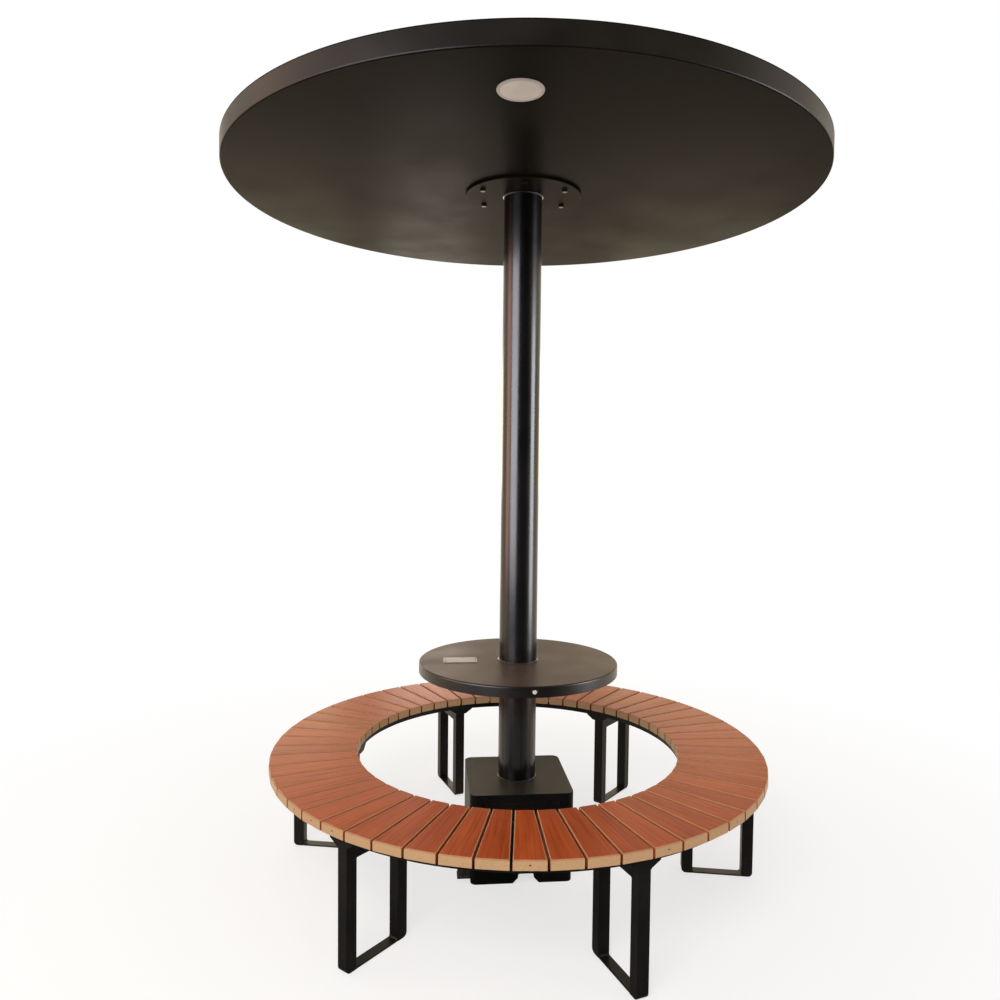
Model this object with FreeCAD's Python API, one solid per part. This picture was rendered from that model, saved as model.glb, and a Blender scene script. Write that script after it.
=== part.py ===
import FreeCAD, Part
import math
import os

from FreeCAD import Vector

# Solar charging table: a round solar canopy on a column, a round table on the same column,
# a battery cabinet round its foot and a free-standing ring bench.
# Millimetres, +Z up, origin on the floor on the column axis, front towards -Y.
# An azimuth is in degrees from the front towards +X.

# Column and the flange under the canopy
column_radius = 70.0
column_wall = 4.0
flange_radius = 210.0
flange_thickness = 8.0
cable_hole_radius = 45.0
bolt_count = 6
bolt_circle_radius = 168.0
bolt_radius = 6.0
bolt_clearance = 0.6
bolt_head_apothem = 9.0
bolt_head_height = 7.5
bolt_run_out = 6.0

# Canopy
canopy_radius = 1050.0
canopy_underside = 2480.0
canopy_height = 64.0
pan_sheet = 3.0
pan_corner = 5.0
rim_ring_width = 25.0
rim_ring_wall = 2.0
hub_apothem = 216.0
hub_wall = 6.0
hub_plate = 12.0
panel_count = 4
ribs_per_panel = 2
rib_width = 40.0
rib_wall = 2.5
gasket_thickness = 3.0
laminate_thickness = 6.0
laminate_inset = 16.0
panel_joint = 12.0
joint_strip_width = 36.0
trim_width = 24.0
trim_thickness = 3.0
trim_screw_count = 24
trim_screw_inset = 10.0
trim_screw_radius = 2.5
trim_screw_head_radius = 5.0
trim_screw_head_height = 2.5
trim_screw_grip = 6.0
screw_clearance = 0.3
cap_radius = 70.0
combiner_side = 130.0
combiner_height = 28.0

# Downlight in the canopy
lamp_azimuth = -2.1
lamp_rim_distance = 222.0
lamp_bezel_radius = 64.0
lamp_bezel_lip = 4.0
lamp_housing_radius = 55.0
lamp_housing_wall = 3.0
lamp_housing_depth = 36.0
lamp_housing_seat = 0.5
lamp_cutout_clearance = 0.5
lamp_diffuser_thickness = 3.0
led_board_thickness = 1.6

# Table
table_radius = 370.0
table_height = 764.0
table_depth = 38.0
table_sheet = 3.0
table_edge = 6.0
table_bore_clearance = 1.0
spider_arms = 4
spider_arm_width = 30.0
spider_rim_gap = 40.0
spider_sleeve_wall = 8.0
table_screws_per_arm = 2
table_screw_spacing = 120.0
table_screw_end = 30.0
table_screw_radius = 2.5
table_screw_head_radius = 5.0
table_screw_head_height = 3.0
table_screw_grip = 12.0
table_seal_width = 6.0
table_seal_height = 4.0
table_seal_round = 2.0

# Socket box in the table top and its lid
socket_azimuth = -84.2
socket_offset = 217.0
socket_length = 125.0
socket_width = 75.0
socket_corner = 6.0
socket_rise = 2.0
socket_lap = 2.5
socket_wall = 2.5
socket_ledge = 5.5
socket_depth = 30.0
socket_cut_clearance = 0.5
module_height = 12.0
port_depth = 9.0
port_pitch = 22.0
wide_port_length = 13.1
wide_port_width = 5.8
slim_port_length = 9.2
slim_port_width = 4.2
lid_thickness = 4.0
lid_gap = 1.0
lid_seat_gap = 0.3
lid_pin_radius = 1.2
lid_pin_clearance = 0.05
lid_pin_grip = 2.0
lid_pull_length = 8.0
lid_pull_height = 1.5

# Push button in the table rim
button_azimuth = 7.4
button_drop = 18.0
button_bezel_radius = 11.0
button_bezel_lip = 2.5
button_barrel_radius = 9.4
button_barrel_depth = 25.0
button_hole_clearance = 0.25
button_cap_radius = 7.0
button_cap_proud = 1.0
button_cap_length = 8.0
button_cap_clearance = 0.05
button_end_wall = 5.0

# Plinth and column base, drawn square to the front and turned with the cabinet
foot_azimuth = 5.5
plinth_side = 364.0
plinth_height = 60.0
plinth_wall = 5.0
plinth_corner = 20.0
notch_centre = 16.0
notch_width = 56.0
notch_height = 34.0
notch_flare = 20.0
base_plate_thickness = 10.0
gusset_count = 4
gusset_length = 45.0
gusset_height = 60.0
gusset_thickness = 8.0
bracket_length = 50.0
bracket_reach = 46.0
bracket_height = 50.0
bracket_plate = 5.0
bracket_set_back = 25.0
anchor_hole_radius = 7.0
anchor_edge_distance = 13.0

# Battery cabinet
cabinet_side = 374.0
cabinet_corner = 28.0
cabinet_height = 325.0
cabinet_sheet = 2.5
cabinet_top_thickness = 3.0
cabinet_bore_clearance = 0.5
foot_seal_width = 4.0
foot_seal_height = 3.0
opening_side_margin = 45.0
opening_end_margin = 25.0
strike_length = 90.0
strike_depth = 23.5
door_gap = 2.0
door_sheet = 2.5
door_depth = 18.0
knuckle_radius = 9.0
knuckle_gap = 3.0
hinge_pin_radius = 3.0
hinge_pin_clearance = 0.05
hinge_lug_height = 8.5
hinge_lug_gap = 0.5
hinge_lug_side = 20.0
lock_edge_distance = 30.0
lock_head_radius = 12.0
lock_head_height = 2.5
lock_barrel_radius = 9.0
lock_cylinder_radius = 6.0
lock_cylinder_clearance = 0.05
lock_cylinder_proud = 0.5
lock_slot_width = 2.0
lock_slot_depth = 1.5
cam_thickness = 3.5
cam_width = 12.0
cam_length = 40.0
cam_clearance = 0.3
battery_width = 300.0
battery_depth = 85.0
battery_height = 200.0
battery_corner = 6.0
controller_width = 150.0
controller_depth = 50.0
controller_height = 160.0
controller_floor_gap = 50.0

# Cable from the canopy to the controller
loom_radius = 8.0
loom_bend = 40.0
loom_hole_clearance = 2.0

# Ring bench
bench_azimuth = 23.1
bench_outer_radius = 900.0
bench_inner_radius = 592.0
seat_height = 450.0
slat_count = 56
slat_first_azimuth = 1.05
slat_gap = 8.0
slat_thickness = 30.0
slat_arris = 4.0
ring_width = 30.0
ring_height = 20.0
ring_wall = 3.0
outer_ring_inset = 26.0
inner_ring_inset = 8.0
slat_screw_radius = 2.5
slat_screw_head_radius = 5.0
slat_screw_head_height = 3.0
slat_screw_grip = 18.0
leg_count = 6
leg_tube = 40.0
leg_wall = 2.5
leg_corner = 16.0
leg_vent_radius = 4.0
outer_post_inset = 50.0
inner_post_inset = 44.0
tie_wall = 2.0
strap_width = 36.0
strap_thickness = 5.0
leg_plate_length = 100.0
leg_plate_thickness = 22.0
leg_plate_edge = 3.0
leg_plate_margin = 5.0

# Heights and radii that follow from the sizes above
canopy_top = canopy_underside + canopy_height
pan_top = canopy_top - trim_thickness
pan_floor = canopy_underside + pan_sheet
laminate_bottom = pan_top - laminate_thickness
frame_top = laminate_bottom - gasket_thickness
hub_floor = pan_floor + hub_plate
rim_ring_outer = canopy_radius - pan_sheet
rim_ring_inner = rim_ring_outer - rim_ring_width
trim_inner = canopy_radius - trim_width
rib_count = panel_count * ribs_per_panel
rib_azimuth = lamp_azimuth + 180.0 / rib_count
lamp_offset = canopy_radius - lamp_rim_distance
flange_bottom = canopy_underside - flange_thickness
table_bottom = table_height - table_depth
table_floor = table_bottom + table_sheet
table_ceiling = table_height - table_sheet
spider_reach = table_radius - spider_rim_gap
spider_azimuth = socket_azimuth + 180.0 / spider_arms
socket_top = table_height + socket_rise
tub_length = socket_length - 2 * socket_lap
tub_width = socket_width - 2 * socket_lap
tub_bottom = table_height - socket_depth
recess_length = tub_length - 2 * socket_wall
recess_width = tub_width - 2 * socket_wall
cavity_length = recess_length - 2 * socket_ledge
cavity_width = recess_width - 2 * socket_ledge
lid_bottom = socket_top - lid_thickness
lid_axis_height = socket_top - lid_thickness / 2
ledge_height = lid_bottom - lid_seat_gap
lid_axis_y = -(socket_offset - recess_length / 2 + lid_gap + lid_thickness / 2)
lid_outer_y = -(socket_offset + recess_length / 2 - lid_gap)
lid_half_width = recess_width / 2 - lid_gap
button_height = table_height - button_drop
base_plate_top = plinth_height + base_plate_thickness
cabinet_shell_top = cabinet_height - cabinet_top_thickness
cabinet_front = -cabinet_side / 2
cabinet_inner = cabinet_side / 2 - cabinet_sheet
opening_half = cabinet_side / 2 - opening_side_margin
opening_z = (base_plate_top + opening_end_margin, cabinet_shell_top - opening_end_margin)
door_z = (opening_z[0] + door_gap, opening_z[1] - door_gap)
hinge_x = -opening_half + knuckle_gap + knuckle_radius
hinge_y = cabinet_front + knuckle_radius
door_edge = opening_half - door_gap
lock_x = door_edge - lock_edge_distance
lock_z = (door_z[0] + door_z[1]) / 2
cam_front = cabinet_front + cabinet_sheet + strike_depth + cam_clearance
controller_z = (base_plate_top + controller_floor_gap, base_plate_top + controller_floor_gap + controller_height)
controller_face = cabinet_inner - controller_depth
loom_exit_height = (controller_z[0] + controller_z[1]) / 2
slat_bottom = seat_height - slat_thickness
ring_bottom = slat_bottom - ring_height
outer_ring_radii = (bench_outer_radius - outer_ring_inset - ring_width, bench_outer_radius - outer_ring_inset)
inner_ring_radii = (bench_inner_radius + inner_ring_inset, bench_inner_radius + inner_ring_inset + ring_width)
outer_post_y = -(bench_outer_radius - outer_post_inset)
inner_post_y = -(bench_inner_radius + inner_post_inset)
leg_plate_bottom = ring_bottom - leg_plate_thickness

AXIS = Vector(0, 0, 1)
ORIGIN = Vector(0, 0, 0)
RIGHT = Vector(1, 0, 0)
BACK = Vector(0, 1, 0)
TOUCH = 1e-3
OVERCUT = 5.0


def block(x_range, y_range, z_range):
    """A box between two values on each axis."""
    size = [high - low for low, high in (x_range, y_range, z_range)]
    return Part.makeBox(*size, Vector(x_range[0], y_range[0], z_range[0]))


def centred(half):
    """The range from minus to plus a half width."""
    return (-half, half)


def disc(radius, z_range, x=0.0, y=0.0):
    """An upright cylinder."""
    return Part.makeCylinder(radius, z_range[1] - z_range[0], Vector(x, y, z_range[0]))


def ring(inner, outer, z_range):
    """An upright ring round the column axis."""
    return disc(outer, z_range).cut(disc(inner, z_range))


def rod(radius, y_range, x, z):
    """A cylinder that lies front to back."""
    return Part.makeCylinder(radius, y_range[1] - y_range[0], Vector(x, y_range[0], z), BACK)


def cross_rod(radius, x_range, y, z):
    """A cylinder that lies left to right."""
    return Part.makeCylinder(radius, x_range[1] - x_range[0], Vector(x_range[0], y, z), RIGHT)


def prism(points, z_range):
    """An upright prism on a closed outline of x, y points."""
    corners = [Vector(x, y, z_range[0]) for x, y in points]
    face = Part.Face(Part.makePolygon(corners + corners[:1]))
    return face.extrude(Vector(0, 0, z_range[1] - z_range[0]))


def side_prism(points, y_range):
    """A prism that runs front to back on a closed outline of x, z points."""
    corners = [Vector(x, y_range[0], z) for x, z in points]
    face = Part.Face(Part.makePolygon(corners + corners[:1]))
    return face.extrude(Vector(0, y_range[1] - y_range[0], 0))


def regular_prism(sides, apothem, azimuth, z_range, x=0.0, y=0.0):
    """A prism with equal sides, one of them square to an azimuth."""
    reach = apothem / math.cos(math.pi / sides)
    turns = [math.radians(azimuth) + 2 * math.pi * (k + 0.5) / sides for k in range(sides)]
    return prism([(x + reach * math.sin(a), y - reach * math.cos(a)) for a in turns], z_range)


def turned(shape, azimuth):
    """A copy turned from the front to an azimuth."""
    copy = shape.copy()
    copy.rotate(ORIGIN, AXIS, azimuth)
    return copy


def at_foot(shape):
    """A copy turned from the front to where the foot of the column faces."""
    return turned(shape, foot_azimuth)


def around(shape, count, first=0.0):
    """Copies spread evenly round the column axis."""
    return [turned(shape, first + 360.0 * k / count) for k in range(count)]


def upright_edges(shape):
    """The straight upright edges of a shape."""
    return [e for e in shape.Edges if e.BoundBox.XLength < TOUCH and e.BoundBox.YLength < TOUCH]


def level_edges(shape, height):
    """The edges that lie at one height."""
    return [e for e in shape.Edges
            if e.BoundBox.ZLength < TOUCH and abs(e.BoundBox.ZMin - height) < TOUCH]


def rounded_square(side, corner, z_range):
    """A square prism round the column axis with rounded upright corners."""
    body = block(centred(side / 2), centred(side / 2), z_range)
    return body.makeFillet(corner, upright_edges(body))


def save(name, shapes):
    """Write one piece, or a group of like pieces, to its own file."""
    pieces = shapes if isinstance(shapes, list) else [shapes]
    solids = [solid for piece in pieces for solid in piece.Solids]
    whole = solids[0] if len(solids) == 1 else Part.makeCompound(solids)
    whole.exportStep("parts/" + name + ".step")


# Canopy


def bolt_holes(radius, z_range):
    """Holes on the flange bolt circle."""
    return around(disc(radius, z_range, 0.0, -bolt_circle_radius), bolt_count)


def trim_screw_holes(radius, z_range):
    """Holes for the screws of the edge trim."""
    return around(disc(radius, z_range, 0.0, -(canopy_radius - trim_screw_inset)), trim_screw_count)


def canopy_pan():
    """Shallow sheet pan with a plain rim: the underside that shows from below."""
    outer = disc(canopy_radius, (canopy_underside, pan_top))
    outer = outer.makeFillet(pan_corner, level_edges(outer, canopy_underside))
    pan = outer.cut(disc(canopy_radius - pan_sheet, (pan_floor, pan_top)))
    sheet = (canopy_underside, pan_floor)
    lamp_hole = disc(lamp_housing_radius + lamp_cutout_clearance, sheet, 0.0, -lamp_offset)
    holes = bolt_holes(bolt_radius + bolt_clearance, sheet)
    holes += [disc(cable_hole_radius, sheet), turned(lamp_hole, lamp_azimuth)]
    return pan.cut(holes)


def canopy_hub():
    """Flat-sided drum that takes the flange bolts and the inner ends of the ribs."""
    drum = regular_prism(rib_count, hub_apothem, rib_azimuth, (pan_floor, frame_top))
    hollow = regular_prism(rib_count, hub_apothem - hub_wall, rib_azimuth, (hub_floor, frame_top))
    plate = (pan_floor, hub_floor)
    return drum.cut([hollow, disc(cable_hole_radius, plate)] + bolt_holes(bolt_radius, plate))


def canopy_ribs():
    """Box-section ribs from the hub to the rim ring."""
    span = (-rim_ring_inner - OVERCUT, -hub_apothem)
    tube = block(centred(rib_width / 2), span, (pan_floor, frame_top))
    bore = block(centred(rib_width / 2 - rib_wall), span, (pan_floor + rib_wall, frame_top - rib_wall))
    rib = tube.cut(bore).common(disc(rim_ring_inner, (pan_floor, frame_top)))
    return around(rib, rib_count, rib_azimuth)


def canopy_rim_ring():
    """Rolled box section inside the rim."""
    whole = ring(rim_ring_inner, rim_ring_outer, (pan_floor, frame_top))
    bore = ring(rim_ring_inner + rim_ring_wall, rim_ring_outer - rim_ring_wall,
                (pan_floor + rim_ring_wall, frame_top - rim_ring_wall))
    return whole.cut([bore] + trim_screw_holes(trim_screw_radius, (frame_top - rim_ring_wall, frame_top)))


def panel_gasket():
    """Rubber bed of the laminates on the rim ring, the ribs and the hub."""
    layer = (frame_top, laminate_bottom)
    strip = block(centred(rib_width / 2), (-rim_ring_inner - OVERCUT, -hub_apothem + hub_wall), layer)
    drum = regular_prism(rib_count, hub_apothem, rib_azimuth, layer)
    hollow = regular_prism(rib_count, hub_apothem - hub_wall, rib_azimuth, layer)
    bed = ring(rim_ring_inner, rim_ring_outer, layer).fuse(around(strip, rib_count, rib_azimuth))
    bed = bed.fuse(drum.cut(hollow)).removeSplitter()
    return bed.cut(trim_screw_holes(trim_screw_radius + screw_clearance, layer))


def solar_panels():
    """Glass laminates of solar cells, each one sector of the canopy."""
    half_angle = math.pi / panel_count
    apex = panel_joint / 2 / math.sin(half_angle)
    reach = 2 * canopy_radius / math.cos(half_angle)
    side = reach * math.sin(half_angle)
    far = -apex - reach * math.cos(half_angle)
    layer = (laminate_bottom, pan_top)
    wedge = prism([(0.0, -apex), (-side, far), (side, far)], layer)
    panel = disc(canopy_radius - laminate_inset, layer).common(wedge)
    return around(panel, panel_count, rib_azimuth + 180.0 / panel_count)


def joint_strips():
    """Flat covers over the joints between the laminates."""
    layer = (pan_top, canopy_top)
    strip = block(centred(joint_strip_width / 2), (-trim_inner - OVERCUT, 0.0), layer)
    return around(strip.common(ring(cap_radius, trim_inner, layer)), panel_count, rib_azimuth)


def edge_trim():
    """Ring that clamps the laminates and covers the top of the rim."""
    layer = (pan_top, canopy_top)
    holes = trim_screw_holes(trim_screw_radius + screw_clearance, layer)
    return ring(trim_inner, canopy_radius, layer).cut(holes)


def trim_screws():
    """Screws through the edge trim into the rim ring."""
    centre = -(canopy_radius - trim_screw_inset)
    top = canopy_top + trim_screw_head_height
    head = disc(trim_screw_head_radius, (canopy_top, top), 0.0, centre)
    end = frame_top - rim_ring_wall - trim_screw_grip
    return around(head.fuse(disc(trim_screw_radius, (end, canopy_top), 0.0, centre)), trim_screw_count)


def flange_bolts():
    """Hex bolts from below, through the flange and the pan into the hub."""
    head_z = (flange_bottom - bolt_head_height, flange_bottom)
    head = regular_prism(6, bolt_head_apothem, 0.0, head_z, 0.0, -bolt_circle_radius)
    shank = disc(bolt_radius, (flange_bottom, hub_floor + bolt_run_out), 0.0, -bolt_circle_radius)
    return around(head.fuse(shank), bolt_count)


def top_flange():
    """Round plate on the head of the column."""
    layer = (flange_bottom, canopy_underside)
    return ring(cable_hole_radius, flange_radius, layer).cut(bolt_holes(bolt_radius + bolt_clearance, layer))


# Downlight


def lamp_disc(radius, z_range):
    """A cylinder on the axis of the downlight."""
    return turned(disc(radius, z_range, 0.0, -lamp_offset), lamp_azimuth)


def lamp_bezel():
    """Ring round the opal disc, flat against the underside."""
    lip = (canopy_underside - lamp_bezel_lip, canopy_underside)
    return lamp_disc(lamp_bezel_radius, lip).cut(lamp_disc(lamp_housing_radius, lip))


def lamp_diffuser():
    """Opal disc held in the bezel under the housing."""
    top = canopy_underside - lamp_housing_seat
    return lamp_disc(lamp_housing_radius, (top - lamp_diffuser_thickness, top))


def lamp_housing():
    """Can above the opal disc, closed at the top."""
    bottom = canopy_underside - lamp_housing_seat
    top = canopy_underside + lamp_housing_depth
    bore = lamp_disc(lamp_housing_radius - lamp_housing_wall, (bottom, top - lamp_housing_wall))
    return lamp_disc(lamp_housing_radius, (bottom, top)).cut(bore)


def lamp_led_board():
    """Round board of light emitters under the top of the can."""
    top = canopy_underside + lamp_housing_depth - lamp_housing_wall
    return lamp_disc(lamp_housing_radius - lamp_housing_wall, (top - led_board_thickness, top))


# Column


def column_tube():
    """Round tube from the base plate to the flange, with a side hole for the cable."""
    tube = ring(column_radius - column_wall, column_radius, (base_plate_top, flange_bottom))
    hole = cross_rod(loom_radius + loom_hole_clearance, (0.0, 2 * column_radius), 0.0, loom_exit_height)
    return tube.cut(at_foot(hole))


def cable_loom():
    """Cable down the column and out to the controller, with one bend."""
    corner = Vector(loom_bend, 0, loom_exit_height + loom_bend)
    start = Vector(0, 0, hub_floor)
    drop_end = Vector(0, 0, corner.z)
    bend_middle = corner - Vector(math.cos(math.pi / 4), 0, math.sin(math.pi / 4)) * loom_bend
    bend_end = Vector(loom_bend, 0, loom_exit_height)
    finish = Vector(controller_face, 0, loom_exit_height)
    runs = [Part.LineSegment(start, drop_end), Part.Arc(drop_end, bend_middle, bend_end),
            Part.LineSegment(bend_end, finish)]
    path = Part.Wire([run.toShape() for run in runs])
    section = Part.Wire(Part.makeCircle(loom_radius, start, AXIS))
    loom = path.makePipeShell([section], True, False)
    print("loom volume over section times length:",
          round(loom.Volume / (math.pi * loom_radius ** 2 * path.Length), 5))
    return at_foot(loom)


def combiner_box():
    """Junction box of the laminates, over the cable hole of the hub."""
    half = centred(combiner_side / 2)
    return block(half, half, (hub_floor, hub_floor + combiner_height))


# Table


def table_screw_places():
    """Distances of the underside screws from the column axis."""
    outermost = spider_reach - table_screw_end
    return [outermost - table_screw_spacing * k for k in range(table_screws_per_arm)]


def table_screw_set(head_radius, head_z, shank_radius, shank_z):
    """Screw bodies, or the holes for them, along every arm of the spider."""
    shapes = []
    for distance in table_screw_places():
        screw = disc(shank_radius, shank_z, 0.0, -distance)
        if head_radius:
            screw = screw.fuse(disc(head_radius, head_z, 0.0, -distance))
        shapes += around(screw, spider_arms, spider_azimuth)
    return shapes


def table_top():
    """Round sheet top with a turned-down rim."""
    body = disc(table_radius, (table_bottom, table_height))
    body = body.makeFillet(table_edge, level_edges(body, table_height))
    body = body.cut(disc(table_radius - table_sheet, (table_bottom, table_ceiling)))
    cut_length = tub_length + 2 * socket_cut_clearance
    cut_width = tub_width + 2 * socket_cut_clearance
    socket_hole = socket_block(cut_length, cut_width, (table_ceiling, table_height))
    button_hole = rod(button_barrel_radius + button_hole_clearance, (-table_radius - OVERCUT, -table_radius / 2),
                      0.0, button_height)
    return body.cut([disc(column_radius + table_bore_clearance, (table_ceiling, table_height)),
                     turned(socket_hole, socket_azimuth), turned(button_hole, button_azimuth)])


def table_underside():
    """Round plate that closes the table from below."""
    layer = (table_bottom, table_floor)
    plate = ring(column_radius + table_bore_clearance, table_radius - table_sheet, layer)
    return plate.cut(table_screw_set(0.0, layer, table_screw_radius + screw_clearance, layer))


def table_spider():
    """Sleeve on the column with arms that carry the table."""
    layer = (table_floor, table_ceiling)
    start = -(column_radius + spider_sleeve_wall / 2)
    arm = block(centred(spider_arm_width / 2), (-spider_reach, start), layer)
    sleeve = ring(column_radius, column_radius + spider_sleeve_wall, layer)
    spider = sleeve.fuse(around(arm, spider_arms, spider_azimuth)).removeSplitter()
    tapped = (table_floor, table_floor + table_screw_grip)
    return spider.cut(table_screw_set(0.0, tapped, table_screw_radius, tapped))


def table_screws():
    """Pan-head screws through the underside plate into the arms."""
    return table_screw_set(table_screw_head_radius, (table_bottom - table_screw_head_height, table_bottom),
                           table_screw_radius, (table_bottom, table_floor + table_screw_grip))


def table_seal():
    """Rubber ring round the column on the table top."""
    top = table_height + table_seal_height
    seal = ring(column_radius, column_radius + table_seal_width, (table_height, top))
    rim = [e for e in level_edges(seal, top) if e.BoundBox.XLength > 2 * column_radius + table_seal_width]
    return seal.makeFillet(table_seal_round, rim)


# Socket box


def socket_block(length, width, z_range):
    """A box centred on the socket, with its length along the radius, at the front."""
    return block(centred(width / 2), (-socket_offset - length / 2, -socket_offset + length / 2), z_range)


def at_socket(shape):
    """A piece of the socket turned to its place on the table."""
    return turned(shape, socket_azimuth)


def socket_tub():
    """Open tub with a lip on the table top, a ledge for the lid and holes for its pin."""
    lip = socket_block(socket_length, socket_width, (table_height, socket_top))
    lip = lip.makeFillet(socket_corner, upright_edges(lip))
    tub = socket_block(tub_length, tub_width, (tub_bottom, table_height)).fuse(lip).removeSplitter()
    recess = socket_block(recess_length, recess_width, (ledge_height, socket_top))
    cavity = socket_block(cavity_length, cavity_width, (tub_bottom + socket_wall, ledge_height))
    pin_hole = cross_rod(lid_pin_radius, centred(recess_width / 2 + lid_pin_grip), lid_axis_y, lid_axis_height)
    return at_socket(tub.cut([recess, cavity, pin_hole]))


def socket_module():
    """Block with two wide and two slim charging ports."""
    bottom = tub_bottom + socket_wall
    top = bottom + module_height
    body = socket_block(cavity_length, cavity_width, (bottom, top))
    ports = []
    for k in range(4):
        length, width = (wide_port_length, wide_port_width) if k % 2 else (slim_port_length, slim_port_width)
        middle = -socket_offset + (k - 1.5) * port_pitch
        y_range = (middle - width / 2, middle + width / 2)
        ports.append(block(centred(length / 2), y_range, (top - port_depth, top)))
    return at_socket(body.cut(ports))


def socket_lid():
    """Flap that closes the tub, round at the hinge end."""
    leaf = block(centred(lid_half_width), (lid_outer_y, lid_axis_y), (lid_bottom, socket_top))
    knuckle = cross_rod(lid_thickness / 2, centred(lid_half_width), lid_axis_y, lid_axis_height)
    bore = cross_rod(lid_pin_radius + lid_pin_clearance, centred(lid_half_width), lid_axis_y, lid_axis_height)
    return at_socket(leaf.fuse(knuckle).removeSplitter().cut(bore))


def lid_pull():
    """Raised metal strip across the free end of the flap."""
    y_range = (lid_outer_y, lid_outer_y + lid_pull_length)
    return at_socket(block(centred(lid_half_width), y_range, (socket_top, socket_top + lid_pull_height)))


def lid_pin():
    """Hinge pin of the flap, held in the walls of the tub."""
    return at_socket(cross_rod(lid_pin_radius, centred(recess_width / 2 + lid_pin_grip), lid_axis_y, lid_axis_height))


# Push button


def button_rod(radius, out, inward):
    """A cylinder on the button's axis, from outside the rim to a depth inside it."""
    return rod(radius, (-table_radius - out, -table_radius + inward), 0.0, button_height)


def button_bezel():
    """Metal ring on the rim with its barrel through the wall."""
    lip = button_rod(button_bezel_radius, button_bezel_lip, OVERCUT)
    lip = lip.cut(disc(table_radius, (table_bottom, table_height)))
    barrel = button_rod(button_barrel_radius, 0.0, button_barrel_depth)
    bore = button_rod(button_cap_radius + button_cap_clearance, button_bezel_lip,
                      button_barrel_depth - button_end_wall)
    return turned(lip.fuse(barrel).removeSplitter().cut(bore), button_azimuth)


def button_cap():
    """Round push cap, a little proud of its ring."""
    proud = button_bezel_lip + button_cap_proud
    return turned(button_rod(button_cap_radius, proud, button_cap_length - proud), button_azimuth)


# Plinth and column base


def plinth():
    """Square frame under the cabinet with a notch for the ground cable at the front."""
    layer = (0.0, plinth_height)
    frame = rounded_square(plinth_side, plinth_corner, layer)
    hollow = rounded_square(plinth_side - 2 * plinth_wall, plinth_corner - plinth_wall, layer)
    front = (-plinth_side / 2, -plinth_side / 2 + plinth_wall)
    half = notch_width / 2
    outline = [(-half - notch_flare, 0.0), (half + notch_flare, 0.0), (half, notch_flare), (half, notch_height),
               (-half, notch_height), (-half, notch_flare)]
    notch = side_prism([(notch_centre + x, z) for x, z in outline], front)
    return at_foot(frame.cut([hollow, notch]))


def base_plate():
    """Thick plate on the plinth that carries the column and the cabinet."""
    return at_foot(rounded_square(cabinet_side, cabinet_corner, (plinth_height, base_plate_top)))


def column_gussets():
    """Triangular plates between the base plate and the column."""
    start = column_radius
    points = [(start, base_plate_top), (start + gusset_length, base_plate_top),
              (start, base_plate_top + gusset_height)]
    plate = side_prism(points, centred(gusset_thickness / 2))
    root = block((0.0, start), centred(gusset_thickness / 2), (base_plate_top, base_plate_top + gusset_height))
    column = disc(column_radius, (base_plate_top, base_plate_top + gusset_height))
    gusset = plate.fuse(root).removeSplitter().cut(column)
    return around(gusset, gusset_count, foot_azimuth + 180.0 / gusset_count)


def floor_brackets():
    """Two angles on opposite sides of the plinth, each with a hole for a floor anchor."""
    wall = -plinth_side / 2
    x_range = (wall - bracket_reach, wall)
    start = wall + plinth_corner + bracket_set_back
    foot = block(x_range, (start, start + bracket_length), (0.0, bracket_plate))
    web = block(x_range, (start, start + bracket_plate), (0.0, bracket_height))
    back = block((wall - bracket_plate, wall), (start, start + bracket_length), (0.0, bracket_height))
    hole = disc(anchor_hole_radius, (0.0, bracket_plate), x_range[0] + anchor_edge_distance,
                start + (bracket_length + bracket_plate) / 2)
    return around(foot.fuse([web, back]).removeSplitter().cut(hole), 2, foot_azimuth)


# Battery cabinet


def cabinet_shell():
    """Four-sided sheet sleeve with a door opening, a strike for the lock and lugs for the hinge pin."""
    layer = (base_plate_top, cabinet_shell_top)
    sleeve = rounded_square(cabinet_side, cabinet_corner, layer)
    sleeve = sleeve.cut(rounded_square(cabinet_side - 2 * cabinet_sheet, cabinet_corner - cabinet_sheet, layer))
    wall_y = (cabinet_front, cabinet_front + cabinet_sheet)
    sleeve = sleeve.cut(block(centred(opening_half), wall_y, opening_z))
    strike = block((opening_half, opening_half + cabinet_sheet), (wall_y[1], wall_y[1] + strike_depth),
                   (lock_z - strike_length / 2, lock_z + strike_length / 2))
    lug_y = (wall_y[1], wall_y[1] + hinge_lug_side)
    lug_x = (hinge_x - hinge_lug_side / 2, hinge_x + hinge_lug_side / 2)
    lugs = [block(lug_x, lug_y, span) for span in hinge_lug_spans()]
    pin = disc(hinge_pin_radius, (hinge_lug_spans()[0][0], hinge_lug_spans()[1][1]), hinge_x, hinge_y)
    return at_foot(sleeve.fuse([strike] + lugs).removeSplitter().cut(pin))


def hinge_lug_spans():
    """Heights of the lower and the upper hinge lug."""
    low = opening_z[0] - hinge_lug_gap
    high = opening_z[1] + hinge_lug_gap
    return [(low - hinge_lug_height, low), (high, high + hinge_lug_height)]


def cabinet_top():
    """Flat cover of the cabinet round the column."""
    plate = rounded_square(cabinet_side, cabinet_corner, (cabinet_shell_top, cabinet_height))
    return at_foot(plate.cut(disc(column_radius + cabinet_bore_clearance, (cabinet_shell_top, cabinet_height))))


def foot_seal():
    """Bead of sealant round the column on the cabinet cover."""
    return ring(column_radius, column_radius + foot_seal_width, (cabinet_height, cabinet_height + foot_seal_height))


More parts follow.
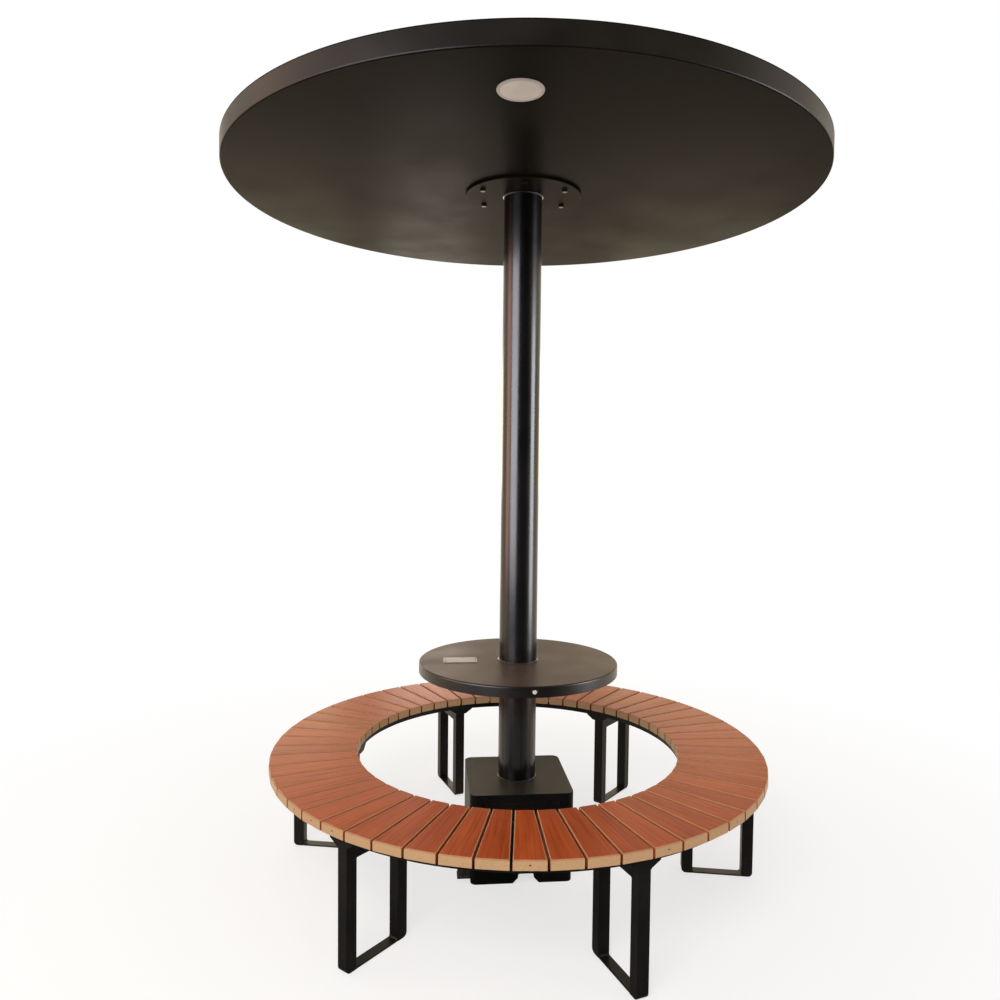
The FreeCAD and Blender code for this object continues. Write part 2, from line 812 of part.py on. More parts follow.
def cabinet_door():
    """Sheet door with folded edges, rolled round the hinge pin on its left edge."""
    skin = block((hinge_x, door_edge), (cabinet_front, cabinet_front + door_sheet), door_z)
    depth = (cabinet_front, cabinet_front + door_depth)
    folds = [block((door_edge - door_sheet, door_edge), depth, door_z)]
    for low, high in ((door_z[0], door_z[0] + door_sheet), (door_z[1] - door_sheet, door_z[1])):
        folds.append(block((hinge_x, door_edge), depth, (low, high)))
    knuckle = disc(knuckle_radius, door_z, hinge_x, hinge_y)
    door = skin.fuse(folds + [knuckle]).removeSplitter()
    lock_hole = rod(lock_barrel_radius, (cabinet_front, cabinet_front + door_sheet), lock_x, lock_z)
    pin_hole = disc(hinge_pin_radius + hinge_pin_clearance, door_z, hinge_x, hinge_y)
    return at_foot(door.cut([pin_hole, lock_hole]))


def door_hinge_pin():
    """Upright pin held in the lugs of the shell."""
    spans = hinge_lug_spans()
    return at_foot(disc(hinge_pin_radius, (spans[0][0], spans[1][1]), hinge_x, hinge_y))


def lock_body():
    """Barrel of the lock, fixed in the door."""
    head = rod(lock_head_radius, (cabinet_front - lock_head_height, cabinet_front), lock_x, lock_z)
    barrel = rod(lock_barrel_radius, (cabinet_front, cam_front - cam_clearance), lock_x, lock_z)
    bore = rod(lock_cylinder_radius + lock_cylinder_clearance,
               (cabinet_front - lock_head_height, cam_front - cam_clearance), lock_x, lock_z)
    return at_foot(head.fuse(barrel).removeSplitter().cut(bore))


def lock_cylinder():
    """Turning core of the lock with a coin slot in front and a cam behind, cam hanging down."""
    face = cabinet_front - lock_head_height - lock_cylinder_proud
    core = rod(lock_cylinder_radius, (face, cam_front), lock_x, lock_z)
    cam_y = (cam_front, cam_front + cam_thickness)
    cam = block((lock_x - cam_width / 2, lock_x + cam_width / 2), cam_y, (lock_z - cam_length, lock_z))
    cam = cam.fuse(rod(cam_width / 2, cam_y, lock_x, lock_z))
    slot = block(centred(lock_slot_width / 2), (face, face + lock_slot_depth), centred(lock_cylinder_radius))
    slot.translate(Vector(lock_x, 0, lock_z))
    return at_foot(core.fuse(cam).removeSplitter().cut(slot))


def battery_pack():
    """Battery against the back wall of the cabinet."""
    y_range = (cabinet_inner - battery_depth, cabinet_inner)
    body = block(centred(battery_width / 2), y_range, (base_plate_top, base_plate_top + battery_height))
    return at_foot(body.makeFillet(battery_corner, upright_edges(body)))


def charge_controller():
    """Charge controller on the right wall of the cabinet, where the cable ends."""
    return at_foot(block((controller_face, cabinet_inner), centred(controller_width / 2), controller_z))


# Ring bench


def bench_slats():
    """Tapered boards round the ring, with parallel gaps and eased upper edges."""
    half_pitch = math.pi / slat_count
    outer_half = bench_outer_radius * math.tan(half_pitch) - slat_gap / 2 / math.cos(half_pitch)
    inner_half = bench_inner_radius * math.tan(half_pitch) - slat_gap / 2 / math.cos(half_pitch)
    outline = [(-outer_half, -bench_outer_radius), (outer_half, -bench_outer_radius),
               (inner_half, -bench_inner_radius), (-inner_half, -bench_inner_radius)]
    slat = prism(outline, (slat_bottom, seat_height))
    slat = slat.makeFillet(slat_arris, level_edges(slat, seat_height))
    holes = [disc(slat_screw_radius, (slat_bottom, slat_bottom + slat_screw_grip), 0.0, -middle)
             for middle in slat_screw_circles()]
    return around(slat.cut(holes), slat_count, slat_first_azimuth)


def slat_screw_circles():
    """Radii of the two screw circles, on the middle of each ring."""
    return [sum(radii) / 2 for radii in (inner_ring_radii, outer_ring_radii)]


def slat_screws():
    """Screws from inside each channel up into the boards."""
    seat = slat_bottom - ring_wall
    screws = []
    for middle in slat_screw_circles():
        head = disc(slat_screw_head_radius, (seat - slat_screw_head_height, seat), 0.0, -middle)
        shank = disc(slat_screw_radius, (seat, slat_bottom + slat_screw_grip), 0.0, -middle)
        screws += around(head.fuse(shank), slat_count, slat_first_azimuth)
    return screws


def bench_ring(radii):
    """Rolled channel, open below, under the boards."""
    inner, outer = radii
    web = (slat_bottom - ring_wall, slat_bottom)
    channel = ring(inner, outer, (ring_bottom, slat_bottom))
    channel = channel.cut(ring(inner + ring_wall, outer - ring_wall, (ring_bottom, web[0])))
    hole = disc(slat_screw_radius + screw_clearance, web, 0.0, -(inner + outer) / 2)
    return channel.cut(around(hole, slat_count, slat_first_azimuth))


def bench_ties():
    """Box-section ties between the two channels, one over each leg."""
    layer = (ring_bottom, slat_bottom)
    span = (-outer_ring_radii[0] - OVERCUT, -inner_ring_radii[1] + OVERCUT)
    tube = block(centred(leg_tube / 2), span, layer)
    bore = block(centred(leg_tube / 2 - tie_wall), span, (layer[0] + tie_wall, layer[1] - tie_wall))
    tie = tube.cut(bore).common(ring(inner_ring_radii[1], outer_ring_radii[0], layer))
    return around(tie, leg_count, bench_azimuth)


def leg_bars(wall):
    """The two posts and the top bar of a leg, drawn in from their outer faces by a wall."""
    half = leg_tube / 2 - wall
    x_range = centred(half)
    outer_y = (outer_post_y - half, outer_post_y + half)
    inner_y = (inner_post_y - half, inner_post_y + half)
    top = leg_plate_bottom - wall
    posts = [block(x_range, y_range, (wall, top)) for y_range in (outer_y, inner_y)]
    bar = block(x_range, (outer_y[0], inner_y[1]), (top - 2 * half, top))
    frame = bar.fuse(posts).removeSplitter()
    ends = [e for e in level_edges(frame, wall) if e.BoundBox.YLength < TOUCH
            and min(abs(e.BoundBox.YMin - y) for y in (outer_y[0], inner_y[1])) < TOUCH]
    return frame.makeFillet(leg_corner - wall, ends)


def leg_plate(y_range):
    """Flared plate between a post and the channel over it."""
    half = leg_plate_length / 2
    foot = leg_tube / 2
    edge = ring_bottom - leg_plate_edge
    outline = [(-half, ring_bottom), (half, ring_bottom), (half, edge), (foot, leg_plate_bottom),
               (-foot, leg_plate_bottom), (-half, edge)]
    return side_prism(outline, y_range)


def bench_legs():
    """Welded loops: square tube with rounded toes, a flat strap along the floor and two flared plates."""
    post_half = leg_tube / 2
    tube = leg_bars(0.0).cut(leg_bars(leg_wall))
    vent_z = leg_plate_bottom - leg_tube
    vent = disc(leg_vent_radius, (vent_z, vent_z + leg_wall), 0.0, (outer_post_y + inner_post_y) / 2)
    gap = (outer_post_y + post_half, inner_post_y - post_half)
    strap = block(centred(strap_width / 2), gap, (0.0, strap_thickness))
    plates = [leg_plate((-outer_ring_radii[1], gap[0] + leg_plate_margin)),
              leg_plate((gap[1] - leg_plate_margin, -inner_ring_radii[0]))]
    return around(tube.cut(vent).fuse([strap] + plates).removeSplitter(), leg_count, bench_azimuth)


os.makedirs("parts", exist_ok=True)

save("canopy_pan", canopy_pan())
save("canopy_hub", canopy_hub())
save("canopy_ribs", canopy_ribs())
save("canopy_rim_ring", canopy_rim_ring())
save("panel_gasket", panel_gasket())
for number, panel in enumerate(solar_panels(), 1):
    save("solar_panel_%d" % number, panel)
save("panel_joint_strips", joint_strips())
save("panel_edge_trim", edge_trim())
save("panel_centre_cap", disc(cap_radius, (pan_top, canopy_top)))
save("trim_screws", trim_screws())
save("combiner_box", combiner_box())
save("lamp_bezel", lamp_bezel())
save("lamp_diffuser", lamp_diffuser())
save("lamp_housing", lamp_housing())
save("lamp_led_board", lamp_led_board())
save("top_flange", top_flange())
save("flange_bolts", flange_bolts())
save("column_tube", column_tube())
save("cable_loom", cable_loom())
save("table_top", table_top())
save("table_underside", table_underside())
save("table_spider", table_spider())
save("table_screws", table_screws())
save("table_seal", table_seal())
save("socket_tub", socket_tub())
save("socket_module", socket_module())
save("socket_lid", socket_lid())
save("lid_pull", lid_pull())
save("lid_pin", lid_pin())
save("button_bezel", button_bezel())
save("button_cap", button_cap())
save("plinth", plinth())
save("base_plate", base_plate())
save("column_gussets", column_gussets())
save("floor_brackets", floor_brackets())
save("cabinet_shell", cabinet_shell())
save("cabinet_top", cabinet_top())
save("foot_seal", foot_seal())
save("cabinet_door", cabinet_door())
save("door_hinge_pin", door_hinge_pin())
save("lock_body", lock_body())
save("lock_cylinder", lock_cylinder())
save("battery_pack", battery_pack())
save("charge_controller", charge_controller())
save("bench_slats", bench_slats())
save("slat_screws", slat_screws())
save("bench_outer_ring", bench_ring(outer_ring_radii))
save("bench_inner_ring", bench_ring(inner_ring_radii))
save("bench_ties", bench_ties())
for number, leg in enumerate(bench_legs(), 1):
    save("bench_leg_%d" % number, leg)
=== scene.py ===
"""Solar charging table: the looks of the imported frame, in metres, front towards -Y."""

from __future__ import annotations

import functools
import logging
import math
from dataclasses import dataclass
from enum import Enum
from typing import Sequence, Union

import bmesh
import bpy
from mathutils import Matrix, Vector


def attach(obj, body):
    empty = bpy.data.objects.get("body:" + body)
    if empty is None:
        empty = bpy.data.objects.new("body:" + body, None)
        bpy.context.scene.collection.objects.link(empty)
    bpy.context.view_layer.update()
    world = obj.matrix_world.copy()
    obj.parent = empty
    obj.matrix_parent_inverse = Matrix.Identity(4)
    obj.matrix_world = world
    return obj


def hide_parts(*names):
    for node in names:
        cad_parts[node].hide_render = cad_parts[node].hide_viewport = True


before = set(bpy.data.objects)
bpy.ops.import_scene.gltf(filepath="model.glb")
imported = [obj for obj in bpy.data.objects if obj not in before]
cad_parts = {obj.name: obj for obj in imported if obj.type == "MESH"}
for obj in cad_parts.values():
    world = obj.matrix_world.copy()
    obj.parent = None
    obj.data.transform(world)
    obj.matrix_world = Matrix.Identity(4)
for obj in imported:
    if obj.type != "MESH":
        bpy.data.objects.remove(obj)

LOG = logging.getLogger("solar_table")
FOOT_AZIMUTH = 5.5
# Edges sharper than this are rounded and shaded as edges
SHARP = math.radians(40.0)
# Corners closer than this are one, and so are heights
MERGE = 1e-7
LEVEL = 1e-6
# Faces that lean less than this stand upright
UPRIGHT = 0.75
# How far a cutter runs past what it cuts
OVERRUN = 0.01
# How much larger faces lead the shading, and how many corners make a face split
FLAT_WEIGHT = 60
SPLIT_FROM = 5
# Where most of a noise's values lie
NOISE_SPAN = (0.3, 0.7)
WHOLE = (0.0, 1.0)
# Angles of half a turn, in twelve steps
HALF_TURN = tuple(math.pi * k / 12 for k in range(13))
# A pan head's flat as a share of its radius, and its driver recess at the top and the floor
PAN_FLAT = 0.7
RECESS = (0.0016, 0.0014)

Piece = bpy.types.Object
Tree = bpy.types.NodeTree
Node = bpy.types.Node
Output = bpy.types.NodeSocket
Point = tuple[float, float]
Spot = tuple[float, float, float]
Radii = tuple[float, ...]
Hexes = tuple[str, str]
Colour = tuple[float, float, float, float]
Value = Union[float, int, str, bool, Sequence[float], bpy.types.ID, Output]


class Body(str, Enum):
    """The moving bodies of the frame."""

    STAND = "stand"
    LID = "lid"
    BUTTON = "button"
    DOOR = "door"
    LOCK = "lock"


class Turn(int, Enum):
    """Parts of a turned piece's round, by how large it shows."""

    CANOPY = 320
    TABLE = 256
    CHANNEL = 224
    COLUMN = 160
    COVER = 128
    LAMP = 96
    KNUCKLE = 64
    BARREL = 48
    BORE = 32
    PIN = 24
    TABLE_SCREW = 20
    TRIM_SCREW = 16
    BOARD_SCREW = 12


class Edge(float, Enum):
    """Widths of the rounding on edges, from the finest to the roundest."""

    FLAP = 0.0002
    MOULDED = 0.0003
    CUT = 0.0004
    DEBURRED = 0.0005
    FILED = 0.0006
    SHEET = 0.0008
    PLATE = 0.001
    BOLT_HEAD = 0.0011
    FLANGE = 0.0012
    WELD = 0.0014
    TIE_TUBE = 0.002
    LEG_TUBE = 0.0028


class Slot(str, Enum):
    """The record's material slots."""

    BLACK_COAT = "black_powder_coat"
    TABLE_COAT = "table_coat"
    CABINET_COAT = "cabinet_coat"
    BENCH_COAT = "bench_coat"
    TIMBER = "bench_timber"
    GLASS = "solar_glass"
    ZINC = "zinc_fasteners"
    BRACKET = "bracket_zinc"
    ALUMINIUM = "mill_aluminium"
    LAMP_WHITE = "lamp_white"
    LAMP_OPAL = "lamp_opal"
    RUBBER = "black_rubber"
    SOCKET_GREY = "socket_grey"
    SOCKET_BLACK = "socket_black"
    STEEL = "satin_steel"
    BATTERY = "battery_case"
    CONTROLLER = "controller_case"
    BOARD = "board_white"


# Node helpers


def linear(colour: str) -> Colour:
    """Turn an sRGB hex colour into linear values.

    Args:
        colour: a hash sign and six hex digits.

    Returns:
        Red, green, blue and full cover.
    """
    parts = [int(colour[k:k + 2], 16) / 255 for k in (1, 3, 5)]
    made = [c / 12.92 if c <= 0.04045 else ((c + 0.055) / 1.055) ** 2.4 for c in parts]
    return (made[0], made[1], made[2], 1.0)


def add_node(
    tree: Tree,
    kind: str,
    settings: dict[str, Value] | None = None,
    inputs: dict[str | int, Value] | None = None,
) -> Node:
    """Add a node with its settings, input values and links.

    Args:
        tree: the tree that takes the node.
        kind: the node's type name.
        settings: attributes of the node.
        inputs: input sockets by name or number, each a value or the output that feeds it.

    Returns:
        The new node.
    """
    node = tree.nodes.new(kind)
    for key, value in (settings or {}).items():
        setattr(node, key, value)
    for key, value in (inputs or {}).items():
        if isinstance(value, Output):
            tree.links.new(value, node.inputs[key])
        else:
            node.inputs[key].default_value = value
    return node


# Mesh helpers


def link(name: str, data: bpy.types.ID) -> Piece:
    """Put a mesh, curve, lamp or camera in the scene as an object at the origin.

    Args:
        name: the object's name.
        data: what it shows.

    Returns:
        The object.
    """
    made = bpy.data.objects.new(name, data)
    bpy.context.scene.collection.objects.link(made)
    return made


def from_bmesh(name: str, work: bmesh.types.BMesh) -> Piece:
    """Close a bmesh into a smooth object with its faces outwards.

    Args:
        name: the object's name.
        work: the mesh, which is freed.

    Returns:
        The new object.
    """
    bmesh.ops.remove_doubles(work, verts=work.verts[:], dist=MERGE)
    bmesh.ops.recalc_face_normals(work, faces=work.faces[:])
    mesh = bpy.data.meshes.new(name)
    work.to_mesh(mesh)
    work.free()
    mesh.shade_smooth()
    return link(name, mesh)


def rounded(points: Sequence[Point], radii: Sequence[float], steps: int = 5) -> list[Point]:
    """Round the corners of a closed outline with arcs.

    Args:
        points: the corners in order.
        radii: one radius for each corner, 0 for a sharp one.
        steps: parts of each arc.

    Returns:
        The outline with its arcs.
    """
    made: list[Point] = []
    for k, corner in enumerate(points):
        here = Vector(corner)
        before = (Vector(points[k - 1]) - here).normalized()
        after = (Vector(points[(k + 1) % len(points)]) - here).normalized()
        if radii[k] <= 0.0:
            made.append((here.x, here.y))
            continue
        half = math.acos(max(-1.0, min(1.0, before.dot(after)))) / 2
        run = radii[k] / math.tan(half)
        centre = here + (before + after).normalized() * (radii[k] / math.sin(half))
        start = here + before * run - centre
        sweep = math.pi - 2 * half
        if start.x * (here - centre).y - start.y * (here - centre).x < 0:
            sweep = -sweep
        for step in range(steps + 1):
            spoke = Matrix.Rotation(sweep * step / steps, 2) @ start
            made.append((centre.x + spoke.x, centre.y + spoke.y))
    return made


def rectangle(low: Point, high: Point) -> list[Point]:
    """Corners of a rectangle, anticlockwise from the lowest."""
    return [(low[0], low[1]), (high[0], low[1]), (high[0], high[1]), (low[0], high[1])]


def rounded_square(side: float, corner: float, steps: int = 8) -> list[Point]:
    """A square outline round the axis with round corners."""
    return rounded(rectangle((-side / 2, -side / 2), (side / 2, side / 2)), [corner] * 4, steps)


def prism(name: str, outline: Sequence[Point], low: float, high: float) -> Piece:
    """An upright prism on a closed outline.

    Args:
        name: the object's name.
        outline: the corners as x and y.
        low: height of the lower face.
        high: height of the upper face.

    Returns:
        The prism.
    """
    work = bmesh.new()
    lower = [work.verts.new((x, y, low)) for x, y in outline]
    upper = [work.verts.new((x, y, high)) for x, y in outline]
    work.faces.new(lower[::-1])
    work.faces.new(upper)
    for k in range(len(outline)):
        work.faces.new((lower[k - 1], lower[k], upper[k], upper[k - 1]))
    return from_bmesh(name, work)


def laid(piece: Piece, x: float, z: float) -> Piece:
    """Lay an upright piece from front to back and move it to its x and z."""
    piece.data.transform(Matrix.Translation((x, 0.0, z)) @ Matrix.Rotation(math.pi / 2, 4, "X"))
    return piece


def side_prism(name: str, outline: Sequence[Point], front: float, back: float) -> Piece:
    """A prism from front to back on an outline of x and z."""
    return laid(prism(name, outline, -back, -front), 0.0, 0.0)


def block(name: str, low: Spot, high: Spot) -> Piece:
    """A box between two corners, used as a cutter or before its edges are broken."""
    return prism(name, rectangle(low[:2], high[:2]), low[2], high[2])


def lathe(name: str, profile: Sequence[Point], segments: int, centre: Point = (0.0, 0.0)) -> Piece:
    """Turn a closed profile of radius and height round an upright axis.

    Args:
        name: the object's name.
        profile: the closed outline as radius and height.
        segments: parts of the turn.
        centre: x and y of the axis.

    Returns:
        The turned piece.
    """
    work = bmesh.new()
    rows = []
    for k in range(segments):
        angle = 2 * math.pi * k / segments
        across, along = math.cos(angle), math.sin(angle)
        spots = [(centre[0] + r * across, centre[1] + r * along, z) for r, z in profile]
        rows.append([work.verts.new(spot) for spot in spots])
    for k, row in enumerate(rows):
        last = rows[k - 1]
        for n in range(len(profile)):
            if profile[n - 1][0] > 0.0 or profile[n][0] > 0.0:
                work.faces.new((last[n - 1], row[n - 1], row[n], last[n]))
    # Merged here and again on closing, so that no sliver is left on the axis
    bmesh.ops.remove_doubles(work, verts=work.verts[:], dist=MERGE)
    return from_bmesh(name, work)


def lathe_front(name: str, profile: Sequence[Point], x: float, z: float) -> Piece:
    """Turn a profile of radius and y round an axis that runs front to back."""
    return laid(lathe(name, [(r, -y) for r, y in profile], Turn.BARREL), x, z)


def tube_profile(inner: float, outer: float, low: float, high: float, edge: float) -> list[Point]:
    """Section of a ring with its four edges rounded."""
    return rounded(rectangle((inner, low), (outer, high)), [edge] * 4, steps=3)


def bar(points: Sequence[Point]) -> list[Point]:
    """Section of a solid turned piece, closed on its axis."""
    return [(0.0, points[0][1])] + list(points) + [(0.0, points[-1][1])]


def rod(radius: float, low: float, high: float) -> list[Point]:
    """Section of a plain round bar."""
    return bar([(radius, low), (radius, high)])


def pan_head(radius: float, seat: float, edge: float, crown: float, recess: float = 0.0) -> list[Point]:
    """Section of a screw's pan head.

    Args:
        radius: radius of the head.
        seat: height of the face that it sits on.
        edge: height of its upright edge over the seat, negative for a head that points down.
        crown: height of its top over the seat.
        recess: height of the driver recess's floor over the seat, 0 for none.

    Returns:
        The section, closed on its axis.
    """
    points = [(radius, seat), (radius, seat + edge), (radius * PAN_FLAT, seat + crown)]
    if recess:
        points += [(RECESS[0], seat + crown), (RECESS[1], seat + recess)]
    return bar(points)


def turned(piece: Piece, azimuth: float) -> Piece:
    """Turn a piece from the front to an azimuth in degrees."""
    piece.data.transform(Matrix.Rotation(math.radians(azimuth), 4, "Z"))
    return piece


def joined(name: str, parts: Sequence[Piece]) -> Piece:
    """Gather the meshes of several objects in one.

    Args:
        name: the name of the new object.
        parts: the objects, which are removed.

    Returns:
        The gathered object.
    """
    work = bmesh.new()
    for part in parts:
        work.from_mesh(part.data)
        bpy.data.objects.remove(part)
    mesh = bpy.data.meshes.new(name)
    work.to_mesh(mesh)
    work.free()
    return link(name, mesh)


def carve(
    body: Piece,
    cutters: Sequence[Piece] = (),
    edge: float = 0.0,
    steps: int = 2,
) -> Piece:
    """Cut a body, break its sharp edges, settle its shading and split its faces of many corners.

    Args:
        body: the object to finish.
        cutters: objects taken away from it, which are removed.
        edge: width of the rounding on sharp edges, 0 for none.
        steps: parts of the rounding.

    Returns:
        The body with a plain mesh.
    """
    for cutter in cutters:
        cut = body.modifiers.new("Cut", "BOOLEAN")
        cut.operation = "DIFFERENCE"
        cut.solver = "EXACT"
        cut.object = cutter
    if edge > 0.0:
        bevel = body.modifiers.new("Edge", "BEVEL")
        bevel.width = edge
        bevel.segments = steps
        bevel.limit_method = "ANGLE"
        bevel.angle_limit = SHARP
    make_plain(body)
    for cutter in cutters:
        bpy.data.objects.remove(cutter)
    body.data.shade_smooth()
    body.data.set_sharp_from_angle(angle=SHARP)
    level = body.modifiers.new("Shading", "WEIGHTED_NORMAL")
    level.mode = "FACE_AREA"
    level.weight = FLAT_WEIGHT
    level.keep_sharp = True
    split = body.modifiers.new("Split", "TRIANGULATE")
    split.min_vertices = SPLIT_FROM
    split.keep_custom_normals = True
    make_plain(body)
    return body


def keep_place(piece: Piece, name: str, shift: Spot = (0.0, 0.0, 0.0)) -> None:
    """Store a piece's own coordinates, which its copies keep.

    Args:
        piece: the piece before it is copied.
        name: the attribute's name.
        shift: what is added to each place.
    """
    kept = piece.data.attributes.new(name, "FLOAT_VECTOR", "POINT")
    for vertex in piece.data.vertices:
        kept.data[vertex.index].vector = vertex.co + Vector(shift)


def plain_mesh(piece: Piece) -> bpy.types.Mesh:
    """The mesh that a piece's curve or modifiers make."""
    ready = piece.evaluated_get(bpy.context.evaluated_depsgraph_get())
    return bpy.data.meshes.new_from_object(ready)


def make_plain(piece: Piece) -> None:
    """Turn what a piece's modifiers make into its own mesh."""
    mesh = plain_mesh(piece)
    piece.modifiers.clear()
    piece.data = mesh


# Node trees for what repeats


def start_tree(name: str, sizes: dict[str, str]) -> Tree:
    """Start a geometry tree with its named inputs.

    Args:
        name: the tree's name.
        sizes: each input's name with the type of its socket.

    Returns:
        The tree, with its input node first.
    """
    tree = bpy.data.node_groups.new(name, "GeometryNodeTree")
    for label, kind in sizes.items():
        tree.interface.new_socket(label, in_out="INPUT", socket_type=kind)
    tree.interface.new_socket("Geometry", in_out="OUTPUT", socket_type="NodeSocketGeometry")
    add_node(tree, "NodeGroupInput")
    return tree


def end_tree(tree: Tree, shape: Output) -> None:
    """Make the instances real, give them their finish and end the tree.

    Args:
        tree: the tree to end.
        shape: the output that carries the instances.
    """
    finish = tree.nodes[0].outputs["Finish"]
    real = add_node(tree, "GeometryNodeRealizeInstances", inputs={"Geometry": shape})
    coated = add_node(
        tree, "GeometryNodeSetMaterial", inputs={"Geometry": real.outputs["Geometry"], "Material": finish}
    )
    add_node(tree, "NodeGroupOutput", inputs={"Geometry": coated.outputs["Geometry"]})


@functools.cache
def ring_tree() -> Tree:
    """Copies of a part spread evenly round the column axis, each with a tone of its own."""
    sizes = {
        "Part": "NodeSocketObject",
        "Count": "NodeSocketInt",
        "First Angle": "NodeSocketFloat",
        "Seed": "NodeSocketInt",
        "Finish": "NodeSocketMaterial",
    }
    tree = start_tree("Copies round the column", sizes)
    given = tree.nodes[0].outputs
    points = add_node(tree, "GeometryNodePoints", inputs={"Count": given["Count"]})
    index = add_node(tree, "GeometryNodeInputIndex")
    maths = "ShaderNodeMath"
    pitch = add_node(tree, maths, {"operation": "DIVIDE"}, {0: 2 * math.pi, 1: given["Count"]}).outputs[0]
    terms = {0: index.outputs[0], 1: pitch, 2: given["First Angle"]}
    angle = add_node(tree, maths, {"operation": "MULTIPLY_ADD"}, terms)
    turn = add_node(tree, "ShaderNodeCombineXYZ", inputs={"Z": angle.outputs[0]})
    spin = add_node(tree, "FunctionNodeEulerToRotation", inputs={0: turn.outputs[0]})
    part = add_node(tree, "GeometryNodeObjectInfo", inputs={"Object": given["Part"]})
    copies = add_node(
        tree,
        "GeometryNodeInstanceOnPoints",
        inputs={
            "Points": points.outputs[0],
            "Instance": part.outputs["Geometry"],
            "Rotation": spin.outputs[0],
        },
    )
    tone = add_node(tree, "FunctionNodeRandomValue", {"data_type": "FLOAT"}, {"Seed": given["Seed"]})
    toned = add_node(
        tree,
        "GeometryNodeStoreNamedAttribute",
        {"data_type": "FLOAT", "domain": "INSTANCE"},
        {"Geometry": copies.outputs[0], "Name": "copy_tone", "Value": tone.outputs[1]},
    )
    end_tree(tree, toned.outputs[0])
    return tree


@functools.cache
def cell_tree() -> Tree:
    """Whole solar cells in rows on a quarter disc."""
    sizes = {
        "Part": "NodeSocketObject",
        "Rows": "NodeSocketInt",
        "Pitch": "NodeSocketFloat",
        "Margin": "NodeSocketFloat",
        "Reach": "NodeSocketFloat",
        "Finish": "NodeSocketMaterial",
    }
    tree = start_tree("Cells on a quarter laminate", sizes)
    given = tree.nodes[0].outputs
    maths = "ShaderNodeMath"
    gaps = add_node(tree, maths, {"operation": "SUBTRACT"}, {0: given["Rows"], 1: 1.0})
    span = add_node(tree, maths, {"operation": "MULTIPLY"}, {0: gaps.outputs[0], 1: given["Pitch"]})
    grid = add_node(
        tree,
        "GeometryNodeMeshGrid",
        inputs={
            "Size X": span.outputs[0],
            "Size Y": span.outputs[0],
            "Vertices X": given["Rows"],
            "Vertices Y": given["Rows"],
        },
    )
    side = add_node(tree, maths, {"operation": "MULTIPLY"}, {0: given["Rows"], 1: given["Pitch"]})
    centre = add_node(
        tree, maths, {"operation": "MULTIPLY_ADD"}, {0: side.outputs[0], 1: 0.5, 2: given["Margin"]}
    )
    shift = add_node(tree, "ShaderNodeCombineXYZ", inputs={"X": centre.outputs[0], "Y": centre.outputs[0]})
    moved = add_node(
        tree,
        "GeometryNodeTransform",
        inputs={"Geometry": grid.outputs["Mesh"], "Translation": shift.outputs[0]},
    )
    half = add_node(tree, maths, {"operation": "MULTIPLY"}, {0: given["Pitch"], 1: 0.5})
    corner = add_node(tree, "ShaderNodeCombineXYZ", inputs={"X": half.outputs[0], "Y": half.outputs[0]})
    spot = add_node(tree, "GeometryNodeInputPosition")
    far = add_node(
        tree, "ShaderNodeVectorMath", {"operation": "ADD"}, {0: spot.outputs[0], 1: corner.outputs[0]}
    )
    length = add_node(tree, "ShaderNodeVectorMath", {"operation": "LENGTH"}, {0: far.outputs[0]})
    limit = add_node(tree, maths, {"operation": "SUBTRACT"}, {0: given["Reach"], 1: given["Margin"]})
    outside = add_node(
        tree, maths, {"operation": "GREATER_THAN"}, {0: length.outputs["Value"], 1: limit.outputs[0]}
    )
    kept = add_node(
        tree,
        "GeometryNodeDeleteGeometry",
        {"domain": "POINT"},
        {"Geometry": moved.outputs[0], "Selection": outside.outputs[0]},
    )
    part = add_node(tree, "GeometryNodeObjectInfo", inputs={"Object": given["Part"]})
    cells = add_node(
        tree,
        "GeometryNodeInstanceOnPoints",
        inputs={"Points": kept.outputs[0], "Instance": part.outputs["Geometry"]},
    )
    end_tree(tree, cells.outputs[0])
    return tree


def grow(name: str, tree: Tree, values: dict[str, Value]) -> Piece:
    """Run a geometry tree and keep its result as a plain mesh.

    Args:
        name: the new object's name.
        tree: the tree to run.
        values: its inputs by name, with the part that it repeats under Part.

    Returns:
        The object with its real mesh.
    """
    carrier = link(name + "_carrier", bpy.data.meshes.new(name + "_carrier"))
    nodes = carrier.modifiers.new("Copies", "NODES")
    nodes.node_group = tree
    for item in tree.interface.items_tree:
        if item.item_type == "SOCKET" and item.in_out == "INPUT":
            nodes[item.identifier] = values[item.name]
    mesh = plain_mesh(carrier)
    mesh.name = name
    carrier.modifiers.clear()
    bpy.data.objects.remove(carrier)
    bpy.data.objects.remove(values["Part"])
    return link(name, mesh)


def round_column(
    name: str, part: Piece, count: int, azimuth: float, finish: Finish, seed: int = 1
) -> Piece:
    """Spread a part that stands at the front round the column.

    Args:
        name: the new object's name.
        part: the part, which is removed.
        count: number of copies.
        azimuth: place of the first copy, in degrees from the front.
        finish: the surface of the copies.
        seed: seed of the copies' tones.

    Returns:
        All the copies as one mesh.
    """
    values = {
        "Part": part,
        "Count": count,
        "First Angle": math.radians(azimuth),
        "Seed": seed,
        "Finish": material_of(finish),
    }
    return grow(name, ring_tree(), values)


# Finishes


